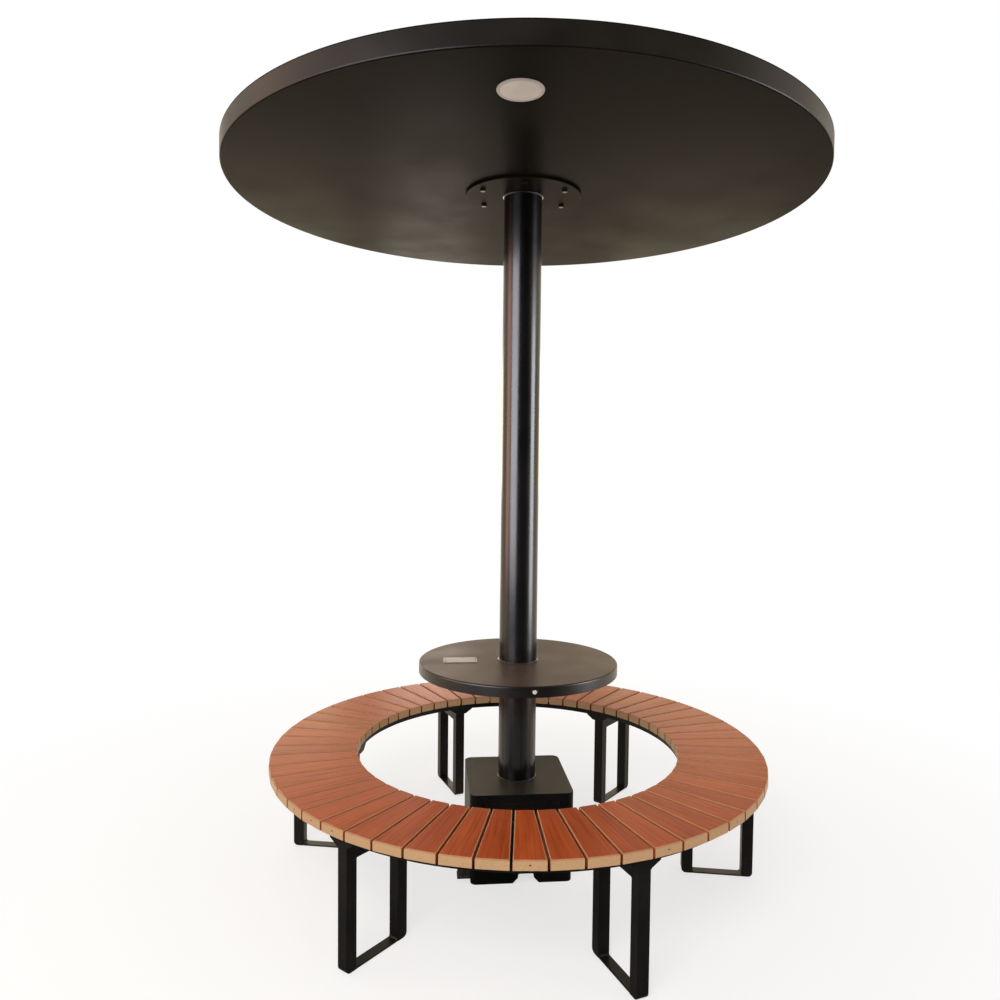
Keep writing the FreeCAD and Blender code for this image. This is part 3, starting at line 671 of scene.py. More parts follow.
@dataclass(frozen=True)
class Finish:
    """A named surface of one of the record's slots, which dresses its own shader."""

    name: str
    slot: Slot
    roughness: float = 0.36
    vary: Point = (-0.06, 0.08)
    gloss: float = 0.5
    relief: float = 0.0
    depth: float = 0.0

    def dress(self, tree: Tree, shader: Node, place: Output) -> None:
        """Set and link the shader's sockets.

        Args:
            tree: the material's tree.
            shader: its Principled shader.
            place: the object coordinates in metres.
        """
        raise NotImplementedError

    def cover(
        self, tree: Tree, shader: Node, colour: Output, share: Output, height: Output | None = None
    ) -> None:
        """Set what all surfaces have: colour, uneven roughness, gloss and, on most, relief.

        Args:
            tree: the material's tree.
            shader: its Principled shader.
            colour: the base colour.
            share: the noise that the roughness follows.
            height: the pattern of the relief.
        """
        given = {
            "Value": share,
            "From Min": NOISE_SPAN[0],
            "From Max": NOISE_SPAN[1],
            "To Min": self.roughness + self.vary[0],
            "To Max": self.roughness + self.vary[1],
        }
        rough = add_node(tree, "ShaderNodeMapRange", inputs=given).outputs[0]
        tree.links.new(colour, shader.inputs["Base Color"])
        tree.links.new(rough, shader.inputs["Roughness"])
        shader.inputs["Specular IOR Level"].default_value = self.gloss
        if height is not None:
            given = {"Height": height, "Strength": self.relief, "Distance": self.depth}
            bump = add_node(tree, "ShaderNodeBump", inputs=given).outputs[0]
            tree.links.new(bump, shader.inputs["Normal"])


def clean_tree(owner: bpy.types.Material | bpy.types.World) -> Tree:
    """Start a material or the surroundings with an empty tree.

    Args:
        owner: the material or the world.

    Returns:
        Its tree.
    """
    owner.use_nodes = True
    owner.node_tree.nodes.clear()
    return owner.node_tree


@functools.cache
def material_of(finish: Finish) -> bpy.types.Material:
    """Make a finish's material once.

    Args:
        finish: the surface.

    Returns:
        Its material.
    """
    made = bpy.data.materials.new(finish.name)
    tree = clean_tree(made)
    shader = add_node(tree, "ShaderNodeBsdfPrincipled")
    add_node(tree, "ShaderNodeOutputMaterial", inputs={"Surface": shader.outputs["BSDF"]})
    place = add_node(tree, "ShaderNodeTexCoord").outputs["Object"]
    finish.dress(tree, shader, place)
    return made


def tint(tree: Tree, share: Output, span: Point, low: str | Output, high: str | Output) -> Output:
    """Blend two colours by a pattern.

    Args:
        tree: the material's tree.
        share: the pattern.
        span: the pattern's values at which the blend starts and ends.
        low: colour where the pattern is low, as a hex value or an output.
        high: colour where the pattern is high.

    Returns:
        The blended colour.
    """
    part = add_node(
        tree, "ShaderNodeMapRange", inputs={"Value": share, "From Min": span[0], "From Max": span[1]}
    ).outputs[0]
    ends = [linear(end) if isinstance(end, str) else end for end in (low, high)]
    mixed = add_node(tree, "ShaderNodeMix", {"data_type": "RGBA"}, {0: part, 6: ends[0], 7: ends[1]})
    return mixed.outputs[2]


@dataclass(frozen=True)
class PowderCoat(Finish):
    """Sheet steel under baked polyester powder: an even satin skin with fine orange peel,
    dusty where hands and cloths don't reach."""

    colour: str = "#161412"
    dusty: str = "#2A2622"
    dust_span: Point = (0.4, 0.72)
    # Lighter colours on faces that point up, partly settled dust and partly painted sheen
    top_dust_and_painted_sheen: Hexes | None = None
    upward_span: Point = (0.75, 0.98)
    vary: Point = (-0.05, 0.07)
    gloss: float = 0.2
    patch: float = 0.24
    peel: float = 0.006
    relief: float = 0.5
    depth: float = 0.00012

    def dress(self, tree: Tree, shader: Node, place: Output) -> None:
        """Dust in patches and a lighter film on what faces up, partly dust and partly painted sheen, over
        orange peel drawn coarse, 6 mm wide, to show.

        Args:
            tree: the material's tree.
            shader: its Principled shader.
            place: the object coordinates in metres.
        """
        patches = add_node(
            tree, "ShaderNodeTexNoise", inputs={"Vector": place, "Scale": 1 / self.patch, "Detail": 5.0}
        ).outputs[0]
        peel = add_node(
            tree, "ShaderNodeTexNoise", inputs={"Vector": place, "Scale": 1 / self.peel, "Detail": 2.0}
        ).outputs[0]
        colour = tint(tree, patches, self.dust_span, self.colour, self.dusty)
        if self.top_dust_and_painted_sheen:
            normal = add_node(tree, "ShaderNodeNewGeometry").outputs["Normal"]
            upward = add_node(tree, "ShaderNodeSeparateXYZ", inputs={0: normal}).outputs["Z"]
            dust_and_sheen_film = tint(tree, patches, NOISE_SPAN, *self.top_dust_and_painted_sheen)
            colour = tint(tree, upward, self.upward_span, colour, dust_and_sheen_film)
        self.cover(tree, shader, colour, patches, peel)


@dataclass(frozen=True)
class BareMetal(Finish):
    """Metal without paint, brushed, plated or rolled: a grey mirror broken by fine lines and clouds."""

    colour: str = "#C4C4C2"
    dull: str = "#8E8D8A"
    dull_span: Point = (0.35, 0.65)
    roughness: float = 0.32
    vary: Point = (-0.08, 0.1)
    grain: Spot = (0.012, 0.012, 0.012)
    relief: float = 0.4
    depth: float = 0.00006

    def dress(self, tree: Tree, shader: Node, place: Output) -> None:
        """Clouds or lines of the grain's size in colour, roughness and relief.

        Args:
            tree: the material's tree.
            shader: its Principled shader.
            place: the object coordinates in metres.
        """
        stretch = add_node(
            tree, "ShaderNodeMapping", inputs={"Vector": place, "Scale": [1 / size for size in self.grain]}
        ).outputs[0]
        lines = add_node(
            tree, "ShaderNodeTexNoise", inputs={"Vector": stretch, "Scale": 1.0, "Detail": 4.0}
        ).outputs[0]
        colour = tint(tree, lines, self.dull_span, self.colour, self.dull)
        self.cover(tree, shader, colour, lines, lines)
        shader.inputs["Metallic"].default_value = 1.0


@dataclass(frozen=True)
class MouldedPlastic(Finish):
    """Moulded ABS, nylon or rubber with a spark-eroded grain: matt, a little uneven in tone."""

    colour: str = "#2B2B2C"
    worn: str = "#3A3A3B"
    worn_span: Point = (0.35, 0.7)
    roughness: float = 0.5
    gloss: float = 0.4
    grain: float = 0.0016
    grains_to_tone: float = 25.0
    relief: float = 0.35
    depth: float = 0.00008

    def dress(self, tree: Tree, shader: Node, place: Output) -> None:
        """Fine pitted grain over broad changes of tone.

        Args:
            tree: the material's tree.
            shader: its Principled shader.
            place: the object coordinates in metres.
        """
        broad = 1 / (self.grain * self.grains_to_tone)
        tone = add_node(
            tree, "ShaderNodeTexNoise", inputs={"Vector": place, "Scale": broad, "Detail": 3.0}
        ).outputs[0]
        pits = add_node(
            tree, "ShaderNodeTexVoronoi", inputs={"Vector": place, "Scale": 1 / self.grain}
        ).outputs["Distance"]
        colour = tint(tree, tone, self.worn_span, self.colour, self.worn)
        self.cover(tree, shader, colour, tone, pits)


@dataclass(frozen=True)
class StainedBoard(Finish):
    """Solid hardwood boards, stained red-brown and varnished on top, pale along the arrises, partly sanded
    and partly a painted highlight, with bare sawn ends that show pores and, on some boards, a small hole
    painted as a dark dot of shade."""

    deep: str = "#963A12"
    bright: str = "#B65021"
    bare: str = "#D0A981"
    pore: str = "#A67C55"
    shadow: str = "#3A2414"
    grain_span: Point = (0.82, 1.48)
    pore_span: Point = (0.62, 0.74)
    roughness: float = 0.3
    gloss: float = 0.06
    sheen: float = 0.06
    sheen_roughness: float = 0.5
    sheen_colour: str = "#E4BE8C"
    line: float = 0.0045
    run: float = 0.26
    lines_to_band: float = 9.0
    pore_size: float = 0.003
    relief: float = 0.2
    depth: float = 0.0004
    board_apart: float = 37.0
    board_lean: float = 0.34
    drilled_from: float = 0.55
    end: float = -0.9
    hole_height: float = 0.435
    hole: float = 0.0026

    def dress(self, tree: Tree, shader: Node, place: Output) -> None:
        """Grain lines along each board, a tone for each board, and bare wood where it took no stain.

        Args:
            tree: the material's tree.
            shader: its Principled shader.
            place: the object coordinates, which a board's own coordinates stand in for; not used.
        """
        maths, vectors, noise = "ShaderNodeMath", "ShaderNodeVectorMath", "ShaderNodeTexNoise"
        spot = add_node(tree, "ShaderNodeAttribute", {"attribute_name": "board_place"}).outputs["Vector"]
        tone = add_node(tree, "ShaderNodeAttribute", {"attribute_name": "copy_tone"}).outputs["Fac"]
        stain = add_node(tree, "ShaderNodeAttribute", {"attribute_name": "stain"}).outputs["Fac"]
        jump = add_node(tree, maths, {"operation": "MULTIPLY"}, {0: tone, 1: self.board_apart}).outputs[0]
        apart = add_node(tree, "ShaderNodeCombineXYZ", inputs={"X": jump, "Y": jump, "Z": jump}).outputs[0]
        here = add_node(tree, vectors, {"operation": "ADD"}, {0: spot, 1: apart}).outputs[0]
        patterns = []
        for width, detail, bend in ((self.line, 3.0, 0.4), (self.line * self.lines_to_band, 2.0, 0.8)):
            scale = (1 / width, 1 / self.run, 1 / width)
            drawn = add_node(tree, "ShaderNodeMapping", inputs={"Vector": here, "Scale": scale}).outputs[0]
            given = {"Vector": drawn, "Scale": 1.0, "Detail": detail, "Distortion": bend}
            patterns.append(add_node(tree, noise, inputs=given).outputs[0])
        lines, bands = patterns
        both = add_node(tree, maths, {"operation": "ADD"}, {0: lines, 1: bands}).outputs[0]
        leaning = add_node(
            tree, maths, {"operation": "MULTIPLY_ADD"}, {0: tone, 1: self.board_lean, 2: both}
        ).outputs[0]
        top = tint(tree, leaning, self.grain_span, self.deep, self.bright)
        pores = add_node(
            tree, noise, inputs={"Vector": here, "Scale": 1 / self.pore_size, "Detail": 2.0}
        ).outputs[0]
        raw = tint(tree, pores, self.pore_span, self.bare, self.pore)
        middle = add_node(
            tree, "ShaderNodeCombineXYZ", inputs={"Y": self.end, "Z": self.hole_height}
        ).outputs[0]
        away = add_node(tree, vectors, {"operation": "DISTANCE"}, {0: spot, 1: middle}).outputs["Value"]
        # Painted shade: a dark dot on the ends of some boards stands for the shade inside a small screw
        # hole
        odd = add_node(
            tree, maths, {"operation": "GREATER_THAN"}, {0: tone, 1: self.drilled_from}
        ).outputs[0]
        drilled = add_node(tree, maths, {"operation": "LESS_THAN"}, {0: away, 1: self.hole}).outputs[0]
        hole = add_node(tree, maths, {"operation": "MULTIPLY"}, {0: odd, 1: drilled}).outputs[0]
        ends = tint(tree, hole, WHOLE, raw, self.shadow)
        wood = tint(tree, stain, WHOLE, ends, top)
        self.cover(tree, shader, wood, lines, lines)
        shader.inputs["Sheen Weight"].default_value = self.sheen
        shader.inputs["Sheen Roughness"].default_value = self.sheen_roughness
        shader.inputs["Sheen Tint"].default_value = linear(self.sheen_colour)


@dataclass(frozen=True)
class LaminateGlass(Finish):
    """Toughened solar glass over a black backsheet: dark, with a sharp reflection and faint rain marks."""

    colour: str = "#0B0D12"
    marks: str = "#14171D"
    mark_span: Point = (0.5, 0.75)
    drop: float = 0.04
    roughness: float = 0.1
    vary: Point = (-0.04, 0.04)

    def dress(self, tree: Tree, shader: Node, place: Output) -> None:
        """Dried drops 40 mm wide in colour and gloss.

        Args:
            tree: the material's tree.
            shader: its Principled shader.
            place: the object coordinates in metres.
        """
        drops = add_node(
            tree, "ShaderNodeTexNoise", inputs={"Vector": place, "Scale": 1 / self.drop, "Detail": 4.0}
        ).outputs[0]
        colour = tint(tree, drops, self.mark_span, self.colour, self.marks)
        self.cover(tree, shader, colour, drops)


@dataclass(frozen=True)
class SolarCell(Finish):
    """Monocrystalline cell under the glass: blue-black silicon with silver busbars."""

    colour: str = "#10182C"
    pale: str = "#1A2440"
    silver: str = "#8D96A3"
    pale_span: Point = (0.35, 0.7)
    cloud: float = 0.09
    busbar: float = 0.025
    busbar_share: float = 0.05
    roughness: float = 0.1
    vary: Point = (-0.03, 0.03)

    def dress(self, tree: Tree, shader: Node, place: Output) -> None:
        """Busbars 25 mm apart along each cell and clouds in the silicon.

        Args:
            tree: the material's tree.
            shader: its Principled shader.
            place: the object coordinates in metres.
        """
        maths = "ShaderNodeMath"
        spot = add_node(tree, "ShaderNodeAttribute", {"attribute_name": "cell_place"}).outputs["Vector"]
        across = add_node(tree, "ShaderNodeSeparateXYZ", inputs={0: spot}).outputs["X"]
        steps = add_node(tree, maths, {"operation": "DIVIDE"}, {0: across, 1: self.busbar}).outputs[0]
        part = add_node(tree, maths, {"operation": "FRACT"}, {0: steps}).outputs[0]
        lined = add_node(
            tree, maths, {"operation": "LESS_THAN"}, {0: part, 1: self.busbar_share}
        ).outputs[0]
        clouds = add_node(
            tree, "ShaderNodeTexNoise", inputs={"Vector": place, "Scale": 1 / self.cloud, "Detail": 3.0}
        ).outputs[0]
        silicon = tint(tree, clouds, self.pale_span, self.colour, self.pale)
        colour = tint(tree, lined, WHOLE, silicon, self.silver)
        self.cover(tree, shader, colour, clouds)


@dataclass(frozen=True)
class OpalAcrylic(Finish):
    """Opal acrylic, extruded and cut: a milky warm grey when the lamp is off, softly glossy."""

    colour: str = "#E8E0DB"
    cloud: str = "#DCD3CE"
    cloud_size: float = 0.06
    roughness: float = 0.35
    vary: Point = (-0.05, 0.05)
    milk: float = 0.15
    milk_depth: float = 0.004

    def dress(self, tree: Tree, shader: Node, place: Output) -> None:
        """Faint darker clouds 60 mm wide at random, painted shade standing in for the light boards behind
        the disc.

        Args:
            tree: the material's tree.
            shader: its Principled shader.
            place: the object coordinates in metres.
        """
        given = {"Vector": place, "Scale": 1 / self.cloud_size, "Detail": 2.0}
        clouds = add_node(tree, "ShaderNodeTexNoise", inputs=given).outputs[0]
        colour = tint(tree, clouds, NOISE_SPAN, self.colour, self.cloud)
        self.cover(tree, shader, colour, clouds)
        shader.inputs["Subsurface Weight"].default_value = self.milk
        shader.inputs["Subsurface Radius"].default_value = (self.milk_depth,) * 3


# Nearly black underside with hardly any gloss
CANOPY_COAT = PowderCoat(
    "polyester_powder_coat_canopy",
    Slot.BLACK_COAT,
    colour="#15120F",
    dusty="#1E1A16",
    roughness=0.34,
    gloss=0.01,
)
# The same coat where rain washes it, with a soft highlight
CANOPY_RIM_COAT = PowderCoat(
    "polyester_powder_coat_canopy_rim", Slot.BLACK_COAT, colour="#161310", dusty="#221D19", gloss=0.2
)
# Smooth black that draws the room as upright streaks
COLUMN_COAT = PowderCoat(
    "gloss_powder_coat_column",
    Slot.BLACK_COAT,
    colour="#0A0909",
    dusty="#110F0F",
    roughness=0.22,
    gloss=0.6,
    depth=0.00003,
)
# Satin top under a lighter brown film on what faces up, partly dust and partly painted sheen
TABLE_COAT = PowderCoat(
    "polyester_powder_coat_table",
    Slot.TABLE_COAT,
    colour="#171311",
    dusty="#241E1B",
    top_dust_and_painted_sheen=("#443430", "#54433D"),
    roughness=0.42,
    gloss=0.08,
    patch=0.16,
)
# The table's rim, wiped by sleeves, with a clearer highlight
TABLE_RIM_COAT = PowderCoat(
    "polyester_powder_coat_table_rim",
    Slot.TABLE_COAT,
    colour="#120F0E",
    dusty="#1C1817",
    roughness=0.3,
    gloss=0.5,
    patch=0.16,
)
# Matt black with a thin lighter film on top, partly dust and partly painted sheen
CABINET_COAT = PowderCoat(
    "polyester_powder_coat_cabinet",
    Slot.CABINET_COAT,
    colour="#0B0A0A",
    dusty="#15120F",
    top_dust_and_painted_sheen=("#2A2521", "#37312B"),
    roughness=0.42,
    gloss=0.08,
    patch=0.14,
)
# Plain black satin
BENCH_COAT = PowderCoat(
    "polyester_powder_coat_bench", Slot.BENCH_COAT, colour="#121110", dusty="#1C1918", gloss=0.12, patch=0.1
)
TIMBER = StainedBoard("stained_hardwood_boards", Slot.TIMBER)
# Bright heads with small clouds
ZINC = BareMetal(
    "zinc_plated_steel",
    Slot.ZINC,
    colour="#C9CCCE",
    dull="#9B9C98",
    roughness=0.34,
    grain=(0.006, 0.006, 0.006),
)
# Zinc darkened with painted shade, so the bolt heads and the button's bezel show dark and only glint
ZINC_IN_PAINTED_SHADE = BareMetal(
    "zinc_bolt_steel_painted_shade",
    Slot.ZINC,
    colour="#4A4744",
    dull="#2A2826",
    roughness=0.3,
    grain=(0.006, 0.006, 0.006),
)
# Dull grey with broad clouds
GALVANISED = BareMetal(
    "galvanised_angle_steel",
    Slot.BRACKET,
    colour="#5A5856",
    dull="#3C3A39",
    roughness=0.5,
    grain=(0.014, 0.014, 0.014),
)
# Pale grey with long lines from the die
ALUMINIUM = BareMetal(
    "mill_finish_aluminium", Slot.ALUMINIUM, colour="#B9BABB", dull="#9C9D9E", grain=(0.2, 0.004, 0.004)
)
# Bright with fine brushed lines
STEEL = BareMetal(
    "brushed_stainless_steel",
    Slot.STEEL,
    colour="#D0CECA",
    dull="#A9A6A2",
    roughness=0.28,
    grain=(0.05, 0.002, 0.002),
)
# Even pale grey without a mirror
PULL_STEEL = BareMetal(
    "blasted_stainless_steel_pull",
    Slot.STEEL,
    colour="#B9B0AA",
    dull="#A39A94",
    roughness=0.55,
    grain=(0.002, 0.002, 0.002),
)
# Warm white, a little yellowed
LAMP_RING = MouldedPlastic(
    "moulded_polycarbonate_lamp_ring", Slot.LAMP_WHITE, colour="#CFC7C0", worn="#BDB4AC", roughness=0.4
)
OPAL = OpalAcrylic("opal_acrylic_disc", Slot.LAMP_OPAL)
# Dull black
RUBBER = MouldedPlastic(
    "extruded_epdm_rubber", Slot.RUBBER, colour="#1D1C1C", worn="#2B2A2A", roughness=0.6, gloss=0.3
)
# Dark grey bead with a thin highlight
SEALANT = MouldedPlastic(
    "tooled_grey_silicone", Slot.RUBBER, colour="#252221", worn="#383431", roughness=0.28, gloss=0.4
)
# Warm grey satin paint
SOCKET_GREY = PowderCoat(
    "painted_aluminium_socket_lid",
    Slot.SOCKET_GREY,
    colour="#A89C95",
    dusty="#B2A7A0",
    roughness=0.42,
    gloss=0.4,
    patch=0.05,
)
# Nearly white all over, a painted highlight for the glint on the metal cap, a bright dot from afar
BUTTON_CAP_PAINTED_HIGHLIGHT = PowderCoat(
    "button_cap_painted_highlight", Slot.STEEL, colour="#ECE9E5", dusty="#DEDAD5", gloss=0.5, patch=0.01
)
# Black with a pitted grain
SOCKET_BLACK = MouldedPlastic("moulded_nylon_socket", Slot.SOCKET_BLACK, colour="#1B1B1C", worn="#29292A")
GLASS = LaminateGlass("toughened_solar_glass", Slot.GLASS)
CELLS = SolarCell("monocrystalline_silicon_cells", Slot.GLASS)
# Blue-grey with a coarse pitted grain
BATTERY = MouldedPlastic(
    "moulded_abs_battery_case", Slot.BATTERY, colour="#2E3338", worn="#3A4046", grain=0.002
)
# Plain grey satin paint
CONTROLLER = PowderCoat(
    "painted_aluminium_controller_case",
    Slot.CONTROLLER,
    colour="#8C9094",
    dusty="#9EA2A5",
    gloss=0.4,
    patch=0.06,
)
# White lacquer of a circuit board
BOARD = MouldedPlastic("solder_mask_led_board", Slot.BOARD, colour="#E6E4DE", worn="#DAD6CD", grain=0.004)


def settle(
    piece: Piece, finish: Finish, *nodes: str, body: Body = Body.STAND, slot: Slot | None = None
) -> Piece:
    """Give a finished piece its surface, its body and the nodes that it stands for.

    Args:
        piece: the finished object.
        finish: its surface.
        nodes: the CAD nodes that it replaces.
        body: the body that it moves with.
        slot: the record's slot, where it isn't the finish's own; not used.

    Returns:
        The piece.
    """
    piece.data.materials.clear()
    piece.data.materials.append(material_of(finish))
    for face in piece.data.polygons:
        face.material_index = 0
    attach(piece, body.value)
    if nodes:
        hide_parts(*nodes)
    stands_for = ", ".join(nodes) or "itself"
    LOG.info("%s on %s, %d faces, for %s", piece.name, body.value, len(piece.data.polygons), stands_for)
    return piece


def finish_rim(piece: Piece, finish: Finish) -> None:
    """Give the upright faces of a settled piece, which rain washes, a glossier surface than its flats.

    Args:
        piece: the settled piece.
        finish: the surface of the upright faces.
    """
    piece.data.materials.append(material_of(finish))
    for face in piece.data.polygons:
        if abs(face.normal.z) < UPRIGHT:
            face.material_index = 1


def dress_nodes(finish: Finish, *nodes: str) -> None:
    """Give CAD nodes that stay as they are a better surface.

    Args:
        finish: the surface.
        nodes: the nodes' names.
    """
    for name in nodes:
        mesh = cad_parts[name].data
        mesh.materials.clear()
        mesh.materials.append(material_of(finish))
        LOG.info("%s keeps its solid, in %s", name, finish.name)


# Sub-assemblies


@dataclass
class Canopy:
    """Round pan with its laminates, covers, screws and downlight."""

    radius: float = 1.050
    underside: float = 2.480
    pan_top: float = 2.541
    top: float = 2.544
    sheet: float = 0.003
    pan_rounds: Radii = (0.0, 0.005, 0.0006, 0.0006, 0.002, 0.0)
    cable_hole: float = 0.045
    lamp_azimuth: float = -2.1
    lamp_offset: float = 0.828
    lamp_radius: float = 0.055
    lamp_play: float = 0.0005
    bezel_radius: float = 0.064
    bezel_lip: float = 0.004
    bezel_slope: float = 0.002
    bezel_edge: float = 0.0012
    bezel_rounds: Radii = (0.0006, 0.0012, 0.0006, 0.0, 0.0)
    diffuser_low: float = 2.4765
    diffuser_high: float = 2.4795
    diffuser_flat: float = 0.5
    diffuser_rounds: Radii = (0.0, 0.0008, 0.0004, 0.0)
    joint_azimuth: float = 20.4
    laminate_radius: float = 1.034
    laminate_low: float = 2.535
    laminate_count: int = 4
    laminate_parts: int = 64
    joint_half: float = 0.006
    strip_half: float = 0.018
    strip_play: Point = (0.0004, 0.0002)
    trim_inner: float = 1.026
    cap_radius: float = 0.070
    cap_flat: float = 0.4
    cap_rounds: Radii = (0.0, 0.001, 0.0)
    screw_circle: float = 1.040
    screw_count: int = 24
    screw_head: float = 0.005
    screw_head_height: float = 0.0025
    screw_edge: float = 0.001
    cell_side: float = 0.125
    cell_cut: float = 0.009
    cell_shift: Spot = (0.5, 0.5, 0.0)
    cell_sunk: float = 0.0004
    cell_proud: float = 0.0002
    cell_pitch: float = 0.1275
    cell_margin: float = 0.032
    cell_rows: int = 8

    def lamp_centre(self) -> Point:
        """Axis of the downlight."""
        angle = math.radians(self.lamp_azimuth)
        return (self.lamp_offset * math.sin(angle), -self.lamp_offset * math.cos(angle))

    def build_pan(self) -> None:
        """Turn the pan with its soft lower edge and cut the lamp's hole."""
        floor = self.underside + self.sheet
        inner = self.radius - self.sheet
        corners = [
            (self.cable_hole, self.underside),
            (self.radius, self.underside),
            (self.radius, self.pan_top),
            (inner, self.pan_top),
            (inner, floor),
            (self.cable_hole, floor),
        ]
        profile = rounded(corners, self.pan_rounds, steps=6)
        pan = lathe("canopy_skin", profile, Turn.CANOPY)
        hole = rod(self.lamp_radius + self.lamp_play, self.underside - OVERRUN, floor + OVERRUN)
        cutter = lathe("lamp_hole", hole, Turn.KNUCKLE, self.lamp_centre())
        finish_rim(settle(carve(pan, [cutter]), CANOPY_COAT, "canopy_pan"), CANOPY_RIM_COAT)

    def build_lamp(self) -> None:
        """Turn the bezel and the opal disc of the downlight."""
        low = self.underside - self.bezel_lip
        corners = [
            (self.lamp_radius, low),
            (self.bezel_radius - self.bezel_slope, low),
            (self.bezel_radius, self.underside - self.bezel_edge),
            (self.bezel_radius, self.underside),
            (self.lamp_radius, self.underside),
        ]
        profile = rounded(corners, self.bezel_rounds, steps=4)
        ring = lathe("lamp_ring", profile, Turn.LAMP, self.lamp_centre())
        settle(carve(ring), LAMP_RING, "lamp_bezel")
        reach = self.lamp_radius
        face = rectangle((reach * self.diffuser_flat, self.diffuser_low), (reach, self.diffuser_high))
        profile = rounded(face, self.diffuser_rounds, steps=4)
        disc = lathe("lamp_disc", bar(profile), Turn.LAMP, self.lamp_centre())
        settle(carve(disc), OPAL, "lamp_diffuser")

    def quarter(self) -> list[Point]:
        """Outline of one laminate between two joints, from its inner corner."""
        start = math.asin(self.joint_half / self.laminate_radius)
        sweep = math.pi / 2 - 2 * start
        reach, parts = self.laminate_radius, self.laminate_parts
        angles = [start + sweep * k / parts for k in range(parts + 1)]
        arc = [(reach * math.cos(a), reach * math.sin(a)) for a in angles]
        return [(self.joint_half, self.joint_half)] + arc

    def build_laminates(self) -> None:
        """Four glass quarters, each with its rows of whole cells."""
        for k in range(self.laminate_count):
            azimuth = self.joint_azimuth + 360.0 / self.laminate_count * k
            glass = prism("laminate_glass_%d" % (k + 1), self.quarter(), self.laminate_low, self.pan_top)
            glass = carve(turned(glass, azimuth), edge=Edge.SHEET)
            settle(glass, GLASS, "solar_panel_%d" % (k + 1))
            values = {
                "Part": self.make_cell(),
                "Rows": self.cell_rows,
                "Pitch": self.cell_pitch,
                "Margin": self.cell_margin,
                "Reach": self.laminate_radius,
                "Finish": material_of(CELLS),
            }
            cells = turned(grow("solar_cells_%d" % (k + 1), cell_tree(), values), azimuth)
            settle(cells, CELLS)

    def make_cell(self) -> Piece:
        """One cell with cut corners, just through the top of the glass, that keeps its own coordinates."""
        half = self.cell_side / 2
        near = half - self.cell_cut
        right = [(near, -half), (half, -near), (half, near), (near, half)]
        outline = right + [(-x, -y) for x, y in right]
        cell = prism("solar_cell", outline, self.pan_top - self.cell_sunk, self.pan_top + self.cell_proud)
        cell.data.shade_flat()
        keep_place(cell, "cell_place", self.cell_shift)
        return cell

    def build_covers(self) -> None:
        """Edge trim, joint strips, centre cap and the trim's screws."""
        profile = tube_profile(self.trim_inner, self.radius, self.pan_top, self.top, Edge.SHEET)
        settle(carve(lathe("rim_trim", profile, Turn.CANOPY)), CANOPY_COAT, "panel_edge_trim")
        strip = block(
            "joint_strip",
            (-self.strip_half, -self.trim_inner + self.strip_play[0], self.pan_top),
            (self.strip_half, -self.cap_radius - self.strip_play[1], self.top),
        )
        around = self.laminate_count, self.joint_azimuth
        strips = round_column("joint_strips", carve(strip, edge=Edge.SHEET), *around, CANOPY_COAT)
        settle(strips, CANOPY_COAT, "panel_joint_strips")
        reach = self.cap_radius
        corners = [(reach, self.pan_top), (reach, self.top), (reach * self.cap_flat, self.top)]
        cap = lathe("centre_cap", bar(rounded(corners, self.cap_rounds, steps=4)), Turn.LAMP)
        settle(carve(cap), CANOPY_COAT, "panel_centre_cap")
        head = pan_head(self.screw_head, self.top, self.screw_edge, self.screw_head_height, self.screw_edge)
        screw = lathe("trim_screw", head, Turn.TRIM_SCREW, (0.0, -self.screw_circle))
        screws = round_column("rim_screws", carve(screw), self.screw_count, 0.0, ZINC)
        settle(screws, ZINC, "trim_screws")

    def build(self) -> None:
        """Make the canopy from the pan to its screws."""
        self.build_pan()
        self.build_lamp()
        self.build_laminates()
        self.build_covers()
        dress_nodes(ALUMINIUM, "canopy_hub", "canopy_ribs", "canopy_rim_ring", "lamp_housing")
        dress_nodes(RUBBER, "panel_gasket")
        dress_nodes(SOCKET_BLACK, "combiner_box")
        dress_nodes(BOARD, "lamp_led_board")


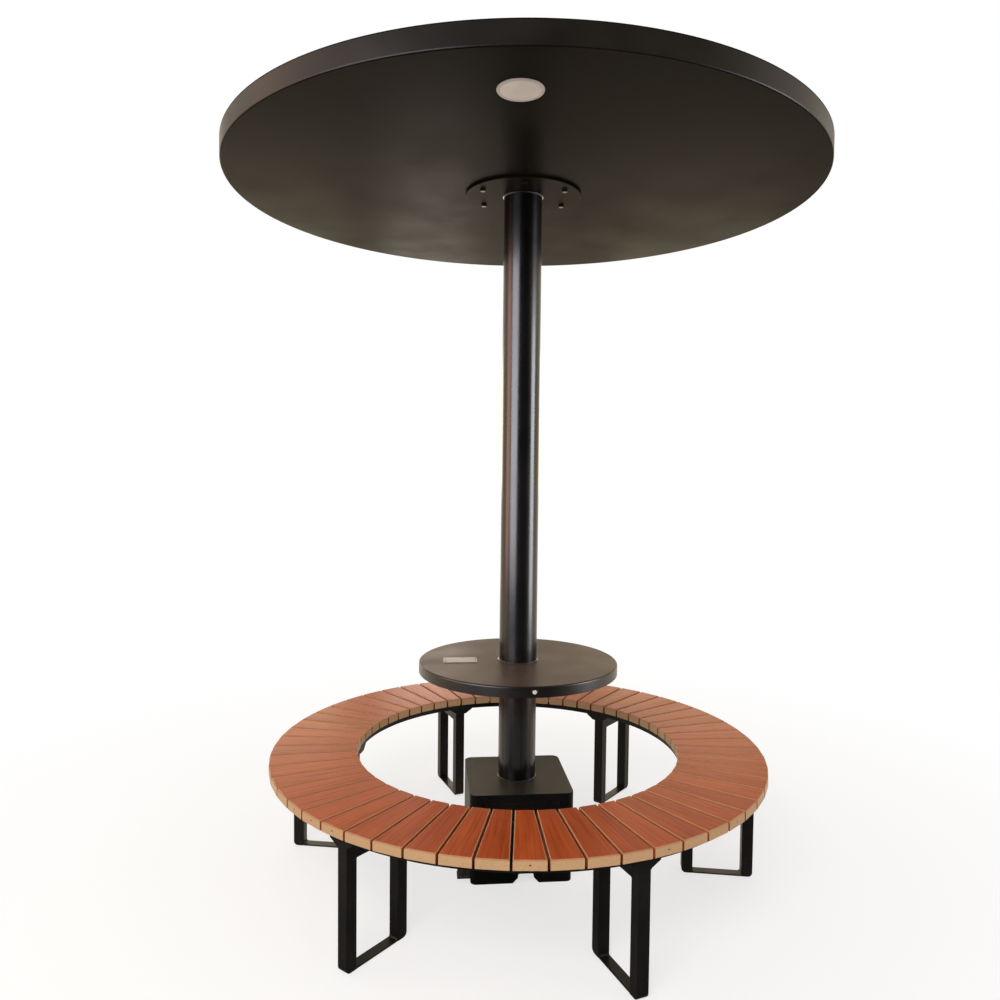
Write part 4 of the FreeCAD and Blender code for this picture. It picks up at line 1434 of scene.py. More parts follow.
@dataclass
class Column:
    """Round tube with its flange, bolts and cable."""

    radius: float = 0.070
    wall: float = 0.004
    low: float = 0.070
    high: float = 2.472
    flange_radius: float = 0.210
    flange_top: float = 2.480
    weld: float = 0.006
    weld_rounds: Radii = (0.001, 0.001, 0.0)
    cable_hole: float = 0.045
    bolt_circle: float = 0.168
    bolt_count: int = 6
    bolt_face: float = 0.001
    bolt_point: float = 0.001
    head_apothem: float = 0.009
    head_height: float = 0.0075
    shank: float = 0.006
    shank_end: float = 2.501
    loom_radius: float = 0.008
    loom_play: float = 0.002
    loom_cut: float = 0.2
    loom_exit: float = 0.200
    loom_bend: float = 0.040
    loom_start: float = 2.495
    loom_end: float = 0.1345

    def build_tube(self) -> None:
        """Turn the tube and cut the cable's hole in its side."""
        profile = tube_profile(self.radius - self.wall, self.radius, self.low, self.high, Edge.DEBURRED)
        tube = lathe("column_skin", profile, Turn.COLUMN)
        cutter = lathe("loom_hole", rod(self.loom_radius + self.loom_play, 0.0, self.loom_cut), Turn.BORE)
        place = Matrix.Translation((0.0, 0.0, self.loom_exit)) @ Matrix.Rotation(math.pi / 2, 4, "Y")
        cutter.data.transform(place)
        tube = carve(tube, [turned(cutter, FOOT_AZIMUTH)])
        settle(tube, COLUMN_COAT, "column_tube")

    def build_flange(self) -> None:
        """Turn the flange, its weld on the tube, and spread the bolts."""
        profile = tube_profile(self.cable_hole, self.flange_radius, self.high, self.flange_top, Edge.FLANGE)
        settle(carve(lathe("flange_plate", profile, Turn.COLUMN)), CANOPY_COAT, "top_flange")
        bead = [
            (self.radius, self.high - self.weld),
            (self.radius + self.weld, self.high),
            (self.radius, self.high),
        ]
        weld = lathe("flange_weld", rounded(bead, self.weld_rounds, steps=3), Turn.COLUMN)
        settle(carve(weld), COLUMN_COAT)
        # The bolts are darkened with painted shade
        bolts = round_column("flange_bolt_set", self.make_bolt(), self.bolt_count, 0.0, ZINC_IN_PAINTED_SHADE)
        settle(bolts, ZINC_IN_PAINTED_SHADE, "flange_bolts")

    def make_bolt(self) -> Piece:
        """One hex bolt at the front, head down, with its washer face and shank."""
        reach = self.head_apothem / math.cos(math.pi / 6)
        spokes = [math.pi / 6 + math.pi / 3 * k for k in range(6)]
        outline = [(reach * math.sin(a), -self.bolt_circle - reach * math.cos(a)) for a in spokes]
        low = self.high - self.head_height
        face = self.high - self.bolt_face
        head = carve(prism("bolt_head", outline, low, face), edge=Edge.BOLT_HEAD)
        axis = (0.0, -self.bolt_circle)
        washer = lathe("bolt_face", rod(self.head_apothem, face, self.high), Turn.BORE, axis)
        stem = [
            (self.shank, self.high),
            (self.shank, self.shank_end - self.bolt_point),
            (self.shank - self.bolt_point, self.shank_end),
        ]
        shank = lathe("bolt_shank", bar(stem), Turn.PIN, axis)
        return joined("hex_bolt", [head, carve(washer), carve(shank)])

    def build_loom(self) -> None:
        """Run the cable down the tube and out to the controller on one smooth line."""
        curve = bpy.data.curves.new("cable_run", "CURVE")
        curve.dimensions = "3D"
        curve.bevel_depth = self.loom_radius
        curve.bevel_resolution = 4
        curve.use_fill_caps = True
        spots = [
            (0.0, 0.0, self.loom_start),
            (0.0, 0.0, self.loom_exit + 4 * self.loom_bend),
            (0.0, 0.0, self.loom_exit),
            (2 * self.loom_bend, 0.0, self.loom_exit),
            (self.loom_end, 0.0, self.loom_exit),
        ]
        line = curve.splines.new("NURBS")
        line.points.add(len(spots) - 1)
        for point, spot in zip(line.points, spots):
            point.co = (*spot, 1.0)
        line.order_u = 3
        line.use_endpoint_u = True
        line.resolution_u = 16
        drawn = link("cable_line", curve)
        mesh = plain_mesh(drawn)
        bpy.data.objects.remove(drawn)
        mesh.shade_smooth()
        run = turned(link("cable_run", mesh), FOOT_AZIMUTH)
        settle(run, RUBBER, "cable_loom")

    def build(self) -> None:
        """Make the column from its tube to its cable."""
        self.build_tube()
        self.build_flange()
        self.build_loom()


@dataclass
class Table:
    """Round table on the column with its seal and screws."""

    radius: float = 0.370
    top: float = 0.764
    bottom: float = 0.726
    sheet: float = 0.003
    top_rounds: Radii = (0.0, 0.003, 0.0004, 0.0012, 0.006, 0.0004)
    bore: float = 0.071
    seal_inner: float = 0.070
    seal_outer: float = 0.076
    seal_top: float = 0.768
    seal_slope: Point = (0.003, 0.002)
    seal_rounds: Radii = (0.0, 0.0004, 0.001, 0.001, 0.0004)
    plate_play: float = 0.0002
    arm_count: int = 4
    arm_azimuth: float = -39.2
    screw_spots: tuple[float, float] = (0.300, 0.180)
    screw_head: float = 0.005
    screw_head_height: float = 0.003
    screw_edge: float = 0.0012
    screw_recess: float = 0.001

    def build_top(self, cutters: Sequence[Piece]) -> None:
        """Turn the top with its round upper edge and cut the holes of what sits in it.

        Args:
            cutters: the shapes of the socket box and the button.
        """
        inner = self.radius - self.sheet
        ceiling = self.top - self.sheet
        corners = [
            (self.bore, ceiling),
            (inner, ceiling),
            (inner, self.bottom),
            (self.radius, self.bottom),
            (self.radius, self.top),
            (self.bore, self.top),
        ]
        profile = rounded(corners, self.top_rounds, steps=6)
        top = lathe("table_skin", profile, Turn.TABLE)
        finish_rim(settle(carve(top, cutters), TABLE_COAT, "table_top"), TABLE_RIM_COAT)

    def build_underside(self) -> None:
        """Turn the closing plate, spread its screws and turn the seal on the top."""
        reach = self.radius - self.sheet - self.plate_play
        profile = tube_profile(self.bore, reach, self.bottom, self.bottom + self.sheet, Edge.DEBURRED)
        plate = lathe("table_underside_plate", profile, Turn.TABLE)
        settle(carve(plate), TABLE_COAT, "table_underside")
        head = pan_head(
            self.screw_head, self.bottom, -self.screw_edge, -self.screw_head_height, -self.screw_recess
        )
        axes = [(0.0, -spot) for spot in self.screw_spots]
        pair = [carve(lathe("table_screw", head, Turn.TABLE_SCREW, axis)) for axis in axes]
        pair = joined("table_screw_pair", pair)
        screws = round_column("table_screw_set", pair, self.arm_count, self.arm_azimuth, ZINC)
        settle(screws, ZINC, "table_screws")
        corners = [
            (self.seal_inner, self.top),
            (self.seal_outer, self.top),
            (self.seal_outer, self.seal_top - self.seal_slope[1]),
            (self.seal_outer - self.seal_slope[0], self.seal_top),
            (self.seal_inner, self.seal_top),
        ]
        seal = lathe("column_seal", rounded(corners, self.seal_rounds, steps=4), Turn.COLUMN)
        settle(carve(seal), SEALANT, "table_seal")

    def build(self, cutters: Sequence[Piece]) -> None:
        """Make the table.

        Args:
            cutters: the shapes of what sits in its top and rim.
        """
        self.build_top(cutters)
        self.build_underside()
        dress_nodes(ALUMINIUM, "table_spider")


@dataclass
class SocketBox:
    """Charging sockets under a flap in the table top."""

    azimuth: float = -84.2
    offset: float = 0.217
    table_top: float = 0.764
    lip_length: float = 0.125
    lip_width: float = 0.075
    lip_top: float = 0.766
    lip_corner: float = 0.006
    tub_length: float = 0.120
    tub_width: float = 0.070
    tub_bottom: float = 0.734
    tub_corner: float = 0.0005
    tub_play: float = 0.001
    mouth_corner: float = 0.001
    hole_low: float = 0.75
    hole_high: float = 0.78
    wall: float = 0.0025
    ledge: float = 0.0055
    ledge_height: float = 0.7617
    module_top: float = 0.7485
    module_corner: float = 0.0006
    port_count: int = 4
    port_depth: float = 0.009
    port_pitch: float = 0.022
    wide_port: Point = (0.0131, 0.0058)
    slim_port: Point = (0.0092, 0.0042)
    lid_bottom: float = 0.762
    lid_half: float = 0.0315
    lid_outer: float = -0.2735
    lid_axis: float = -0.1625
    pull_length: float = 0.008
    pull_height: float = 0.0015
    pin: float = 0.0012
    pin_play: float = 0.0001
    pin_half: float = 0.0345
    bore_half: float = 0.05

    def box(self, name: str, length: float, width: float, low: float, high: float, corner: float) -> Piece:
        """An upright box on the socket's middle, before it is turned to its place.

        Args:
            name: the object's name.
            length: size along the radius.
            width: size across the radius.
            low: lower height.
            high: upper height.
            corner: radius of its upright corners.

        Returns:
            The box.
        """
        x, near, far = width / 2, -self.offset + length / 2, -self.offset - length / 2
        outline = rounded(rectangle((-x, far), (x, near)), [corner] * 4)
        return prism(name, outline, low, high)

    def cutter(self) -> Piece:
        """The hole that the tub needs in the table top."""
        size = self.tub_length + self.tub_play, self.tub_width + self.tub_play
        hole = self.box("socket_hole", *size, self.hole_low, self.hole_high, self.tub_corner)
        return turned(hole, self.azimuth)

    def build_tub(self) -> None:
        """Cut the tub from its lip and body, and the ports from the module."""
        size = self.lip_length, self.lip_width
        lip = self.box("socket_lip", *size, self.table_top, self.lip_top, self.lip_corner)
        past = self.lip_top + OVERRUN
        recess = self.tub_length - 2 * self.wall, self.tub_width - 2 * self.wall
        mouth = self.box("socket_mouth", *recess, self.table_top - OVERRUN, past, self.mouth_corner)
        lip = carve(lip, [mouth], edge=Edge.FILED)
        size = self.tub_length, self.tub_width
        body = self.box("socket_body", *size, self.tub_bottom, self.table_top, self.tub_corner)
        shelf = self.box("socket_shelf", *recess, self.ledge_height, past, self.tub_corner)
        depth = recess[0] - 2 * self.ledge, recess[1] - 2 * self.ledge
        well = self.box("socket_well", *depth, self.tub_bottom + self.wall, past, self.tub_corner)
        body = carve(body, [shelf, well], edge=Edge.MOULDED)
        tub = turned(joined("socket_tub_moulding", [lip, body]), self.azimuth)
        settle(tub, SOCKET_GREY, "socket_tub")
        floor = self.tub_bottom + self.wall
        module = self.box("port_module", *depth, floor, self.module_top, self.module_corner)
        ports = []
        for k in range(self.port_count):
            length, width = self.wide_port if k % 2 else self.slim_port
            y = -self.offset + (k - (self.port_count - 1) / 2) * self.port_pitch
            low = (-length / 2, y - width / 2, self.module_top - self.port_depth)
            ports.append(block("port", low, (length / 2, y + width / 2, self.module_top + OVERRUN)))
        module = turned(carve(module, ports, edge=Edge.MOULDED), self.azimuth)
        settle(module, SOCKET_BLACK, "socket_module")

    def build_lid(self) -> None:
        """Fold the flap round its pin and set the pull strip on its free end."""
        half = (self.lip_top - self.lid_bottom) / 2
        middle = (self.lip_top + self.lid_bottom) / 2
        hinge = [(self.lid_axis + half * math.sin(a), middle - half * math.cos(a)) for a in HALF_TURN]
        outline = [(self.lid_outer, self.lip_top), (self.lid_outer, self.lid_bottom)] + hinge
        leaf = turned(side_prism("socket_flap", outline, -self.lid_half, self.lid_half), 90.0)
        bore = lathe("pin_bore", rod(self.pin + self.pin_play, -self.bore_half, self.bore_half), Turn.BORE)
        place = Matrix.Translation((0.0, self.lid_axis, middle)) @ Matrix.Rotation(math.pi / 2, 4, "Y")
        bore.data.transform(place)
        flap = turned(carve(leaf, [bore], edge=Edge.FLAP), self.azimuth)
        settle(flap, SOCKET_GREY, "socket_lid", body=Body.LID)
        pull = block(
            "flap_pull",
            (-self.lid_half, self.lid_outer, self.lip_top),
            (self.lid_half, self.lid_outer + self.pull_length, self.lip_top + self.pull_height),
        )
        pull = turned(carve(pull, edge=Edge.DEBURRED, steps=3), self.azimuth)
        settle(pull, PULL_STEEL, "lid_pull", body=Body.LID)
        pin = lathe("flap_pin", rod(self.pin, -self.pin_half, self.pin_half), Turn.PIN)
        pin.data.transform(place)
        settle(turned(carve(pin), self.azimuth), ZINC, "lid_pin")

    def build(self) -> None:
        """Make the tub, the ports and the flap."""
        self.build_tub()
        self.build_lid()


@dataclass
class PushButton:
    """Metal push button in the rim of the table."""

    azimuth: float = 7.4
    height: float = 0.746
    rim: float = 0.370
    bezel: float = 0.011
    lip: float = 0.0025
    barrel: float = 0.0094
    barrel_depth: float = 0.025
    end_wall: float = 0.005
    ring_rounds: Radii = (0.0006, 0.0008, 0.0003, 0.0, 0.0, 0.0, 0.0, 0.0, 0.0)
    cap: float = 0.007
    cap_proud: float = 0.001
    cap_length: float = 0.008
    cap_play: float = 0.00005
    cap_rounds: Radii = (0.0, 0.004, 0.0007, 0.0004, 0.0)
    dish: float = 0.0004
    dish_share: float = 0.6
    slope: float = 0.0012
    shoulder: float = 0.0008
    lift: float = 0.00016
    hole_play: float = 0.00025
    hole_reach: float = 0.02

    def cutter(self) -> Piece:
        """The hole that the barrel needs in the rim."""
        hole = rod(self.barrel + self.hole_play, -self.rim - self.hole_reach, -self.rim + self.hole_reach)
        return turned(lathe_front("button_hole", hole, 0.0, self.height), self.azimuth)

    def build(self) -> None:
        """Turn the bezel with its barrel, and the dished cap."""
        face = -self.rim - self.lip
        bore = self.cap + self.cap_play
        end = -self.rim + self.barrel_depth
        corners = [
            (bore, face),
            (self.bezel - self.slope, face),
            (self.bezel, -self.rim - self.shoulder),
            (self.bezel, -self.rim + self.lift),
            (self.barrel, -self.rim + self.lift),
            (self.barrel, end),
            (0.0, end),
            (0.0, end - self.end_wall),
            (bore, end - self.end_wall),
        ]
        section = rounded(corners, self.ring_rounds, steps=4)
        ring = lathe_front("button_ring", section, 0.0, self.height)
        # The bezel is darkened with painted shade
        settle(turned(carve(ring), self.azimuth), ZINC_IN_PAINTED_SHADE, "button_bezel", slot=Slot.STEEL)
        front = face - self.cap_proud
        back = front + self.cap_length
        corners = [
            (0.0, front + self.dish),
            (self.cap * self.dish_share, front),
            (self.cap, front),
            (self.cap, back),
            (0.0, back),
        ]
        section = rounded(corners, self.cap_rounds, steps=4)
        cap = lathe_front("button_face", section, 0.0, self.height)
        # The cap's near-white colour is a painted highlight
        settle(turned(carve(cap), self.azimuth), BUTTON_CAP_PAINTED_HIGHLIGHT, "button_cap", body=Body.BUTTON)


@dataclass
class Foot:
    """Plinth, floor angles and battery cabinet with its door and lock, drawn square and then turned."""

    azimuth: float = FOOT_AZIMUTH
    plinth_side: float = 0.364
    plinth_height: float = 0.060
    plinth_wall: float = 0.005
    plinth_corner: float = 0.020
    notch_centre: float = 0.016
    notch_half: float = 0.028
    notch_height: float = 0.034
    notch_flare: float = 0.020
    notch_rounds: Radii = (0.0, 0.0, 0.012, 0.006, 0.006, 0.012)
    notch_past: float = 0.002
    notch_below: float = 0.001
    plate_top: float = 0.070
    side: float = 0.374
    corner: float = 0.028
    corner_steps: int = 12
    sheet: float = 0.0025
    shell_top: float = 0.322
    top: float = 0.325
    bore: float = 0.0705
    bore_span: Point = (0.3, 0.35)
    seal_width: float = 0.004
    seal_height: float = 0.003
    seal_rounds: Radii = (0.0, 0.0004, 0.0004)
    column: float = 0.070
    opening_half: float = 0.142
    opening_low: float = 0.095
    opening_high: float = 0.297
    opening_past: float = 0.004
    door_low: float = 0.097
    door_high: float = 0.295
    door_edge: float = 0.140
    door_depth: float = 0.018
    door_past: float = 0.05
    hinge_x: float = -0.130
    hinge_y: float = -0.178
    knuckle: float = 0.009
    knuckle_bite: float = 0.0002
    pin: float = 0.003
    play: float = 0.00005
    bore_reach: float = 0.4
    pin_low: float = 0.086
    pin_high: float = 0.306
    strike_depth: float = 0.0235
    strike_half: float = 0.045
    lug_side: float = 0.020
    lug_height: float = 0.0085
    lock_x: float = 0.110
    lock_z: float = 0.196
    lock_head: float = 0.012
    lock_head_height: float = 0.0025
    lock_barrel: float = 0.009
    lock_core: float = 0.006
    lock_proud: float = 0.0005
    lock_rounds: Radii = (0.0004, 0.001, 0.0, 0.0, 0.0006, 0.0)
    slot_half: float = 0.001
    slot_depth: float = 0.0015
    cam_front: float = -0.1607
    cam_thickness: float = 0.0035
    cam_play: float = 0.0003
    cam_half: float = 0.006
    cam_length: float = 0.040
    bracket_wall: float = -0.182
    bracket_reach: float = 0.046
    bracket_start: float = -0.137
    bracket_length: float = 0.050
    bracket_height: float = 0.050
    bracket_plate: float = 0.005
    bracket_count: int = 2
    web_rounds: Radii = (0.0, 0.0, 0.0, 0.006)
    anchor_spot: Point = (-0.215, -0.1095)
    anchor_hole: float = 0.007

    def place(self, piece: Piece, finish: Finish, node: str, body: Body = Body.STAND) -> None:
        """Turn a piece, drawn square to the front, to where the foot faces, and settle it."""
        settle(turned(piece, self.azimuth), finish, node, body=body)

    def build_plinth(self) -> None:
        """Cut the plinth frame with its cable notch and lay the plate on it."""
        square = rounded_square(self.plinth_side, self.plinth_corner)
        outer = prism("plinth_frame", square, 0.0, self.plinth_height)
        inner_side = self.plinth_side - 2 * self.plinth_wall
        inner = rounded_square(inner_side, self.plinth_corner - self.plinth_wall)
        hollow = prism("plinth_hollow", inner, -OVERRUN, self.plinth_height + OVERRUN)
        half, flare = self.notch_half, self.notch_flare
        outline = [
            (-half - flare, -self.notch_below),
            (half + flare, -self.notch_below),
            (half, flare),
            (half, self.notch_height),
            (-half, self.notch_height),
            (-half, flare),
        ]
        soft = rounded(outline, self.notch_rounds)
        soft = [(x + self.notch_centre, z) for x, z in soft]
        front = -self.plinth_side / 2
        past = front + self.plinth_wall + self.notch_past
        notch = side_prism("plinth_notch", soft, front - OVERRUN, past)
        plinth = carve(outer, [hollow, notch], edge=Edge.PLATE)
        self.place(plinth, CABINET_COAT, "plinth")
        square = rounded_square(self.side, self.corner)
        plate = prism("foot_plate", square, self.plinth_height, self.plate_top)
        self.place(carve(plate, edge=Edge.SHEET), CABINET_COAT, "base_plate")

    def build_brackets(self) -> None:
        """Two floor angles with their anchor holes."""
        left = self.bracket_wall - self.bracket_reach
        end = self.bracket_start + self.bracket_length
        corner = (self.bracket_wall, end, self.bracket_plate)
        foot = block("angle_foot", (left, self.bracket_start, 0.0), corner)
        hole = rod(self.anchor_hole, -OVERRUN, 2 * OVERRUN)
        hole = lathe("anchor_hole", hole, Turn.BORE, self.anchor_spot)
        foot = carve(foot, [hole], edge=Edge.FILED)
        web_end = self.bracket_start + self.bracket_plate
        outline = rectangle((left, self.bracket_plate), (self.bracket_wall, self.bracket_height))
        soft = rounded(outline, self.web_rounds)
        web = side_prism("angle_web", soft, self.bracket_start, web_end)
        back = block(
            "angle_back",
            (self.bracket_wall - self.bracket_plate, web_end, self.bracket_plate),
            (self.bracket_wall, end, self.bracket_height),
        )
        upright = [carve(plate, edge=Edge.FILED) for plate in (web, back)]
        angle = joined("floor_angle", [foot] + upright)
        pair = round_column("floor_angles", angle, self.bracket_count, self.azimuth, GALVANISED)
        settle(pair, GALVANISED, "floor_brackets")

    def build_shell(self) -> None:
        """Cut the sleeve with its door opening, its strike and hinge lugs, and lay the cover on it."""
        square = rounded_square(self.side, self.corner, self.corner_steps)
        outer = prism("cabinet_sleeve", square, self.plate_top, self.shell_top)
        inner_side, inner_corner = self.side - 2 * self.sheet, self.corner - self.sheet
        inner = rounded_square(inner_side, inner_corner, self.corner_steps)
        hollow = prism("cabinet_hollow", inner, self.plate_top - OVERRUN, self.shell_top + OVERRUN)
        front = -self.side / 2
        behind = front + self.sheet
        opening = block(
            "door_opening",
            (-self.opening_half, front - OVERRUN, self.opening_low),
            (self.opening_half, behind + self.opening_past, self.opening_high),
        )
        sleeve = carve(outer, [hollow, opening], edge=Edge.SHEET)
        strike = block(
            "lock_strike",
            (self.opening_half, behind, self.lock_z - self.strike_half),
            (self.opening_half + self.sheet, behind + self.strike_depth, self.lock_z + self.strike_half),
        )
        parts = [sleeve, carve(strike, edge=Edge.CUT)]
        tall = self.lug_height
        for low, high in ((self.pin_low, self.pin_low + tall), (self.pin_high - tall, self.pin_high)):
            lug = block(
                "hinge_lug",
                (self.hinge_x - self.lug_side / 2, behind, low),
                (self.hinge_x + self.lug_side / 2, behind + self.lug_side, high),
            )
            bore = lathe("lug_bore", rod(self.pin, 0.0, self.bore_reach), Turn.PIN, self.hinge())
            parts.append(carve(lug, [bore], edge=Edge.FILED))
        self.place(joined("cabinet_skin", parts), CABINET_COAT, "cabinet_shell")
        cover = prism("cabinet_cover", square, self.shell_top, self.top)
        hole = lathe("cover_bore", rod(self.bore, *self.bore_span), Turn.COVER)
        cover = carve(cover, [hole], edge=Edge.FLANGE, steps=3)
        self.place(cover, CABINET_COAT, "cabinet_top")
        edge = self.column + self.seal_width
        bead = [(self.column, self.top), (edge, self.top), (self.column, self.top + self.seal_height)]
        seal = lathe("foot_bead", rounded(bead, self.seal_rounds, steps=3), Turn.COVER)
        settle(carve(seal), SEALANT, "foot_seal")

    def build_door(self) -> None:
        """Fold the door, roll its hinge edge, cut the hole for its lock and set the hinge pin."""
        front = -self.side / 2
        tray = block(
            "door_tray",
            (self.hinge_x, front, self.door_low),
            (self.door_edge, front + self.door_depth, self.door_high),
        )
        hollow = block(
            "door_hollow",
            (self.hinge_x - OVERRUN, front + self.sheet, self.door_low + self.sheet),
            (self.door_edge - self.sheet, front + self.door_past, self.door_high - self.sheet),
        )
        hole = rod(self.lock_barrel, front - OVERRUN, front + OVERRUN)
        barrel = lathe_front("lock_hole", hole, self.lock_x, self.lock_z)
        space = rod(self.knuckle - self.knuckle_bite, 0.0, self.bore_reach)
        clear = lathe("knuckle_space", space, Turn.KNUCKLE, self.hinge())
        tray = carve(tray, [hollow, barrel, clear], edge=Edge.SHEET)
        roll = tube_profile(self.pin + self.play, self.knuckle, self.door_low, self.door_high, Edge.CUT)
        roll = carve(lathe("door_roll", roll, Turn.KNUCKLE, self.hinge()))
        self.place(joined("door_leaf", [tray, roll]), CABINET_COAT, "cabinet_door", Body.DOOR)
        pin = lathe("hinge_rod", rod(self.pin, self.pin_low, self.pin_high), Turn.BORE, self.hinge())
        self.place(carve(pin, edge=Edge.CUT), ZINC, "door_hinge_pin")

    def hinge(self) -> Point:
        """Axis of the door's hinge."""
        return (self.hinge_x, self.hinge_y)

    def build_lock(self) -> None:
        """Turn the lock's body, and cut the coin slot in its core with the cam behind."""
        front = -self.side / 2
        face = front - self.lock_head_height
        bore = self.lock_core + self.play
        end = self.cam_front - self.cam_play
        corners = [
            (bore, face),
            (self.lock_head, face),
            (self.lock_head, front),
            (self.lock_barrel, front),
            (self.lock_barrel, end),
            (bore, end),
        ]
        section = rounded(corners, self.lock_rounds, steps=4)
        body = lathe_front("lock_barrel", section, self.lock_x, self.lock_z)
        self.place(carve(body), STEEL, "lock_body", Body.DOOR)
        nose = face - self.lock_proud
        core = rod(self.lock_core, nose, self.cam_front)
        core = lathe_front("lock_plug", core, self.lock_x, self.lock_z)
        slot = block(
            "coin_slot",
            (self.lock_x - self.slot_half, nose - OVERRUN, self.lock_z - OVERRUN),
            (self.lock_x + self.slot_half, nose + self.slot_depth, self.lock_z + OVERRUN),
        )
        core = carve(core, [slot], edge=Edge.MOULDED)
        half = self.cam_half
        outline = [(self.lock_x + half * math.cos(a), self.lock_z + half * math.sin(a)) for a in HALF_TURN]
        low = self.lock_z - self.cam_length
        outline += [(self.lock_x - half, low), (self.lock_x + half, low)]
        cam = side_prism("lock_cam", outline, self.cam_front, self.cam_front + self.cam_thickness)
        plug = joined("lock_core", [core, carve(cam, edge=Edge.DEBURRED)])
        self.place(plug, STEEL, "lock_cylinder", Body.LOCK)

    def build(self) -> None:
        """Make the foot from its plinth to its lock."""
        self.build_plinth()
        self.build_brackets()
        self.build_shell()
        self.build_door()
        self.build_lock()
        dress_nodes(CABINET_COAT, "column_gussets")
        dress_nodes(BATTERY, "battery_pack")
        dress_nodes(CONTROLLER, "charge_controller")


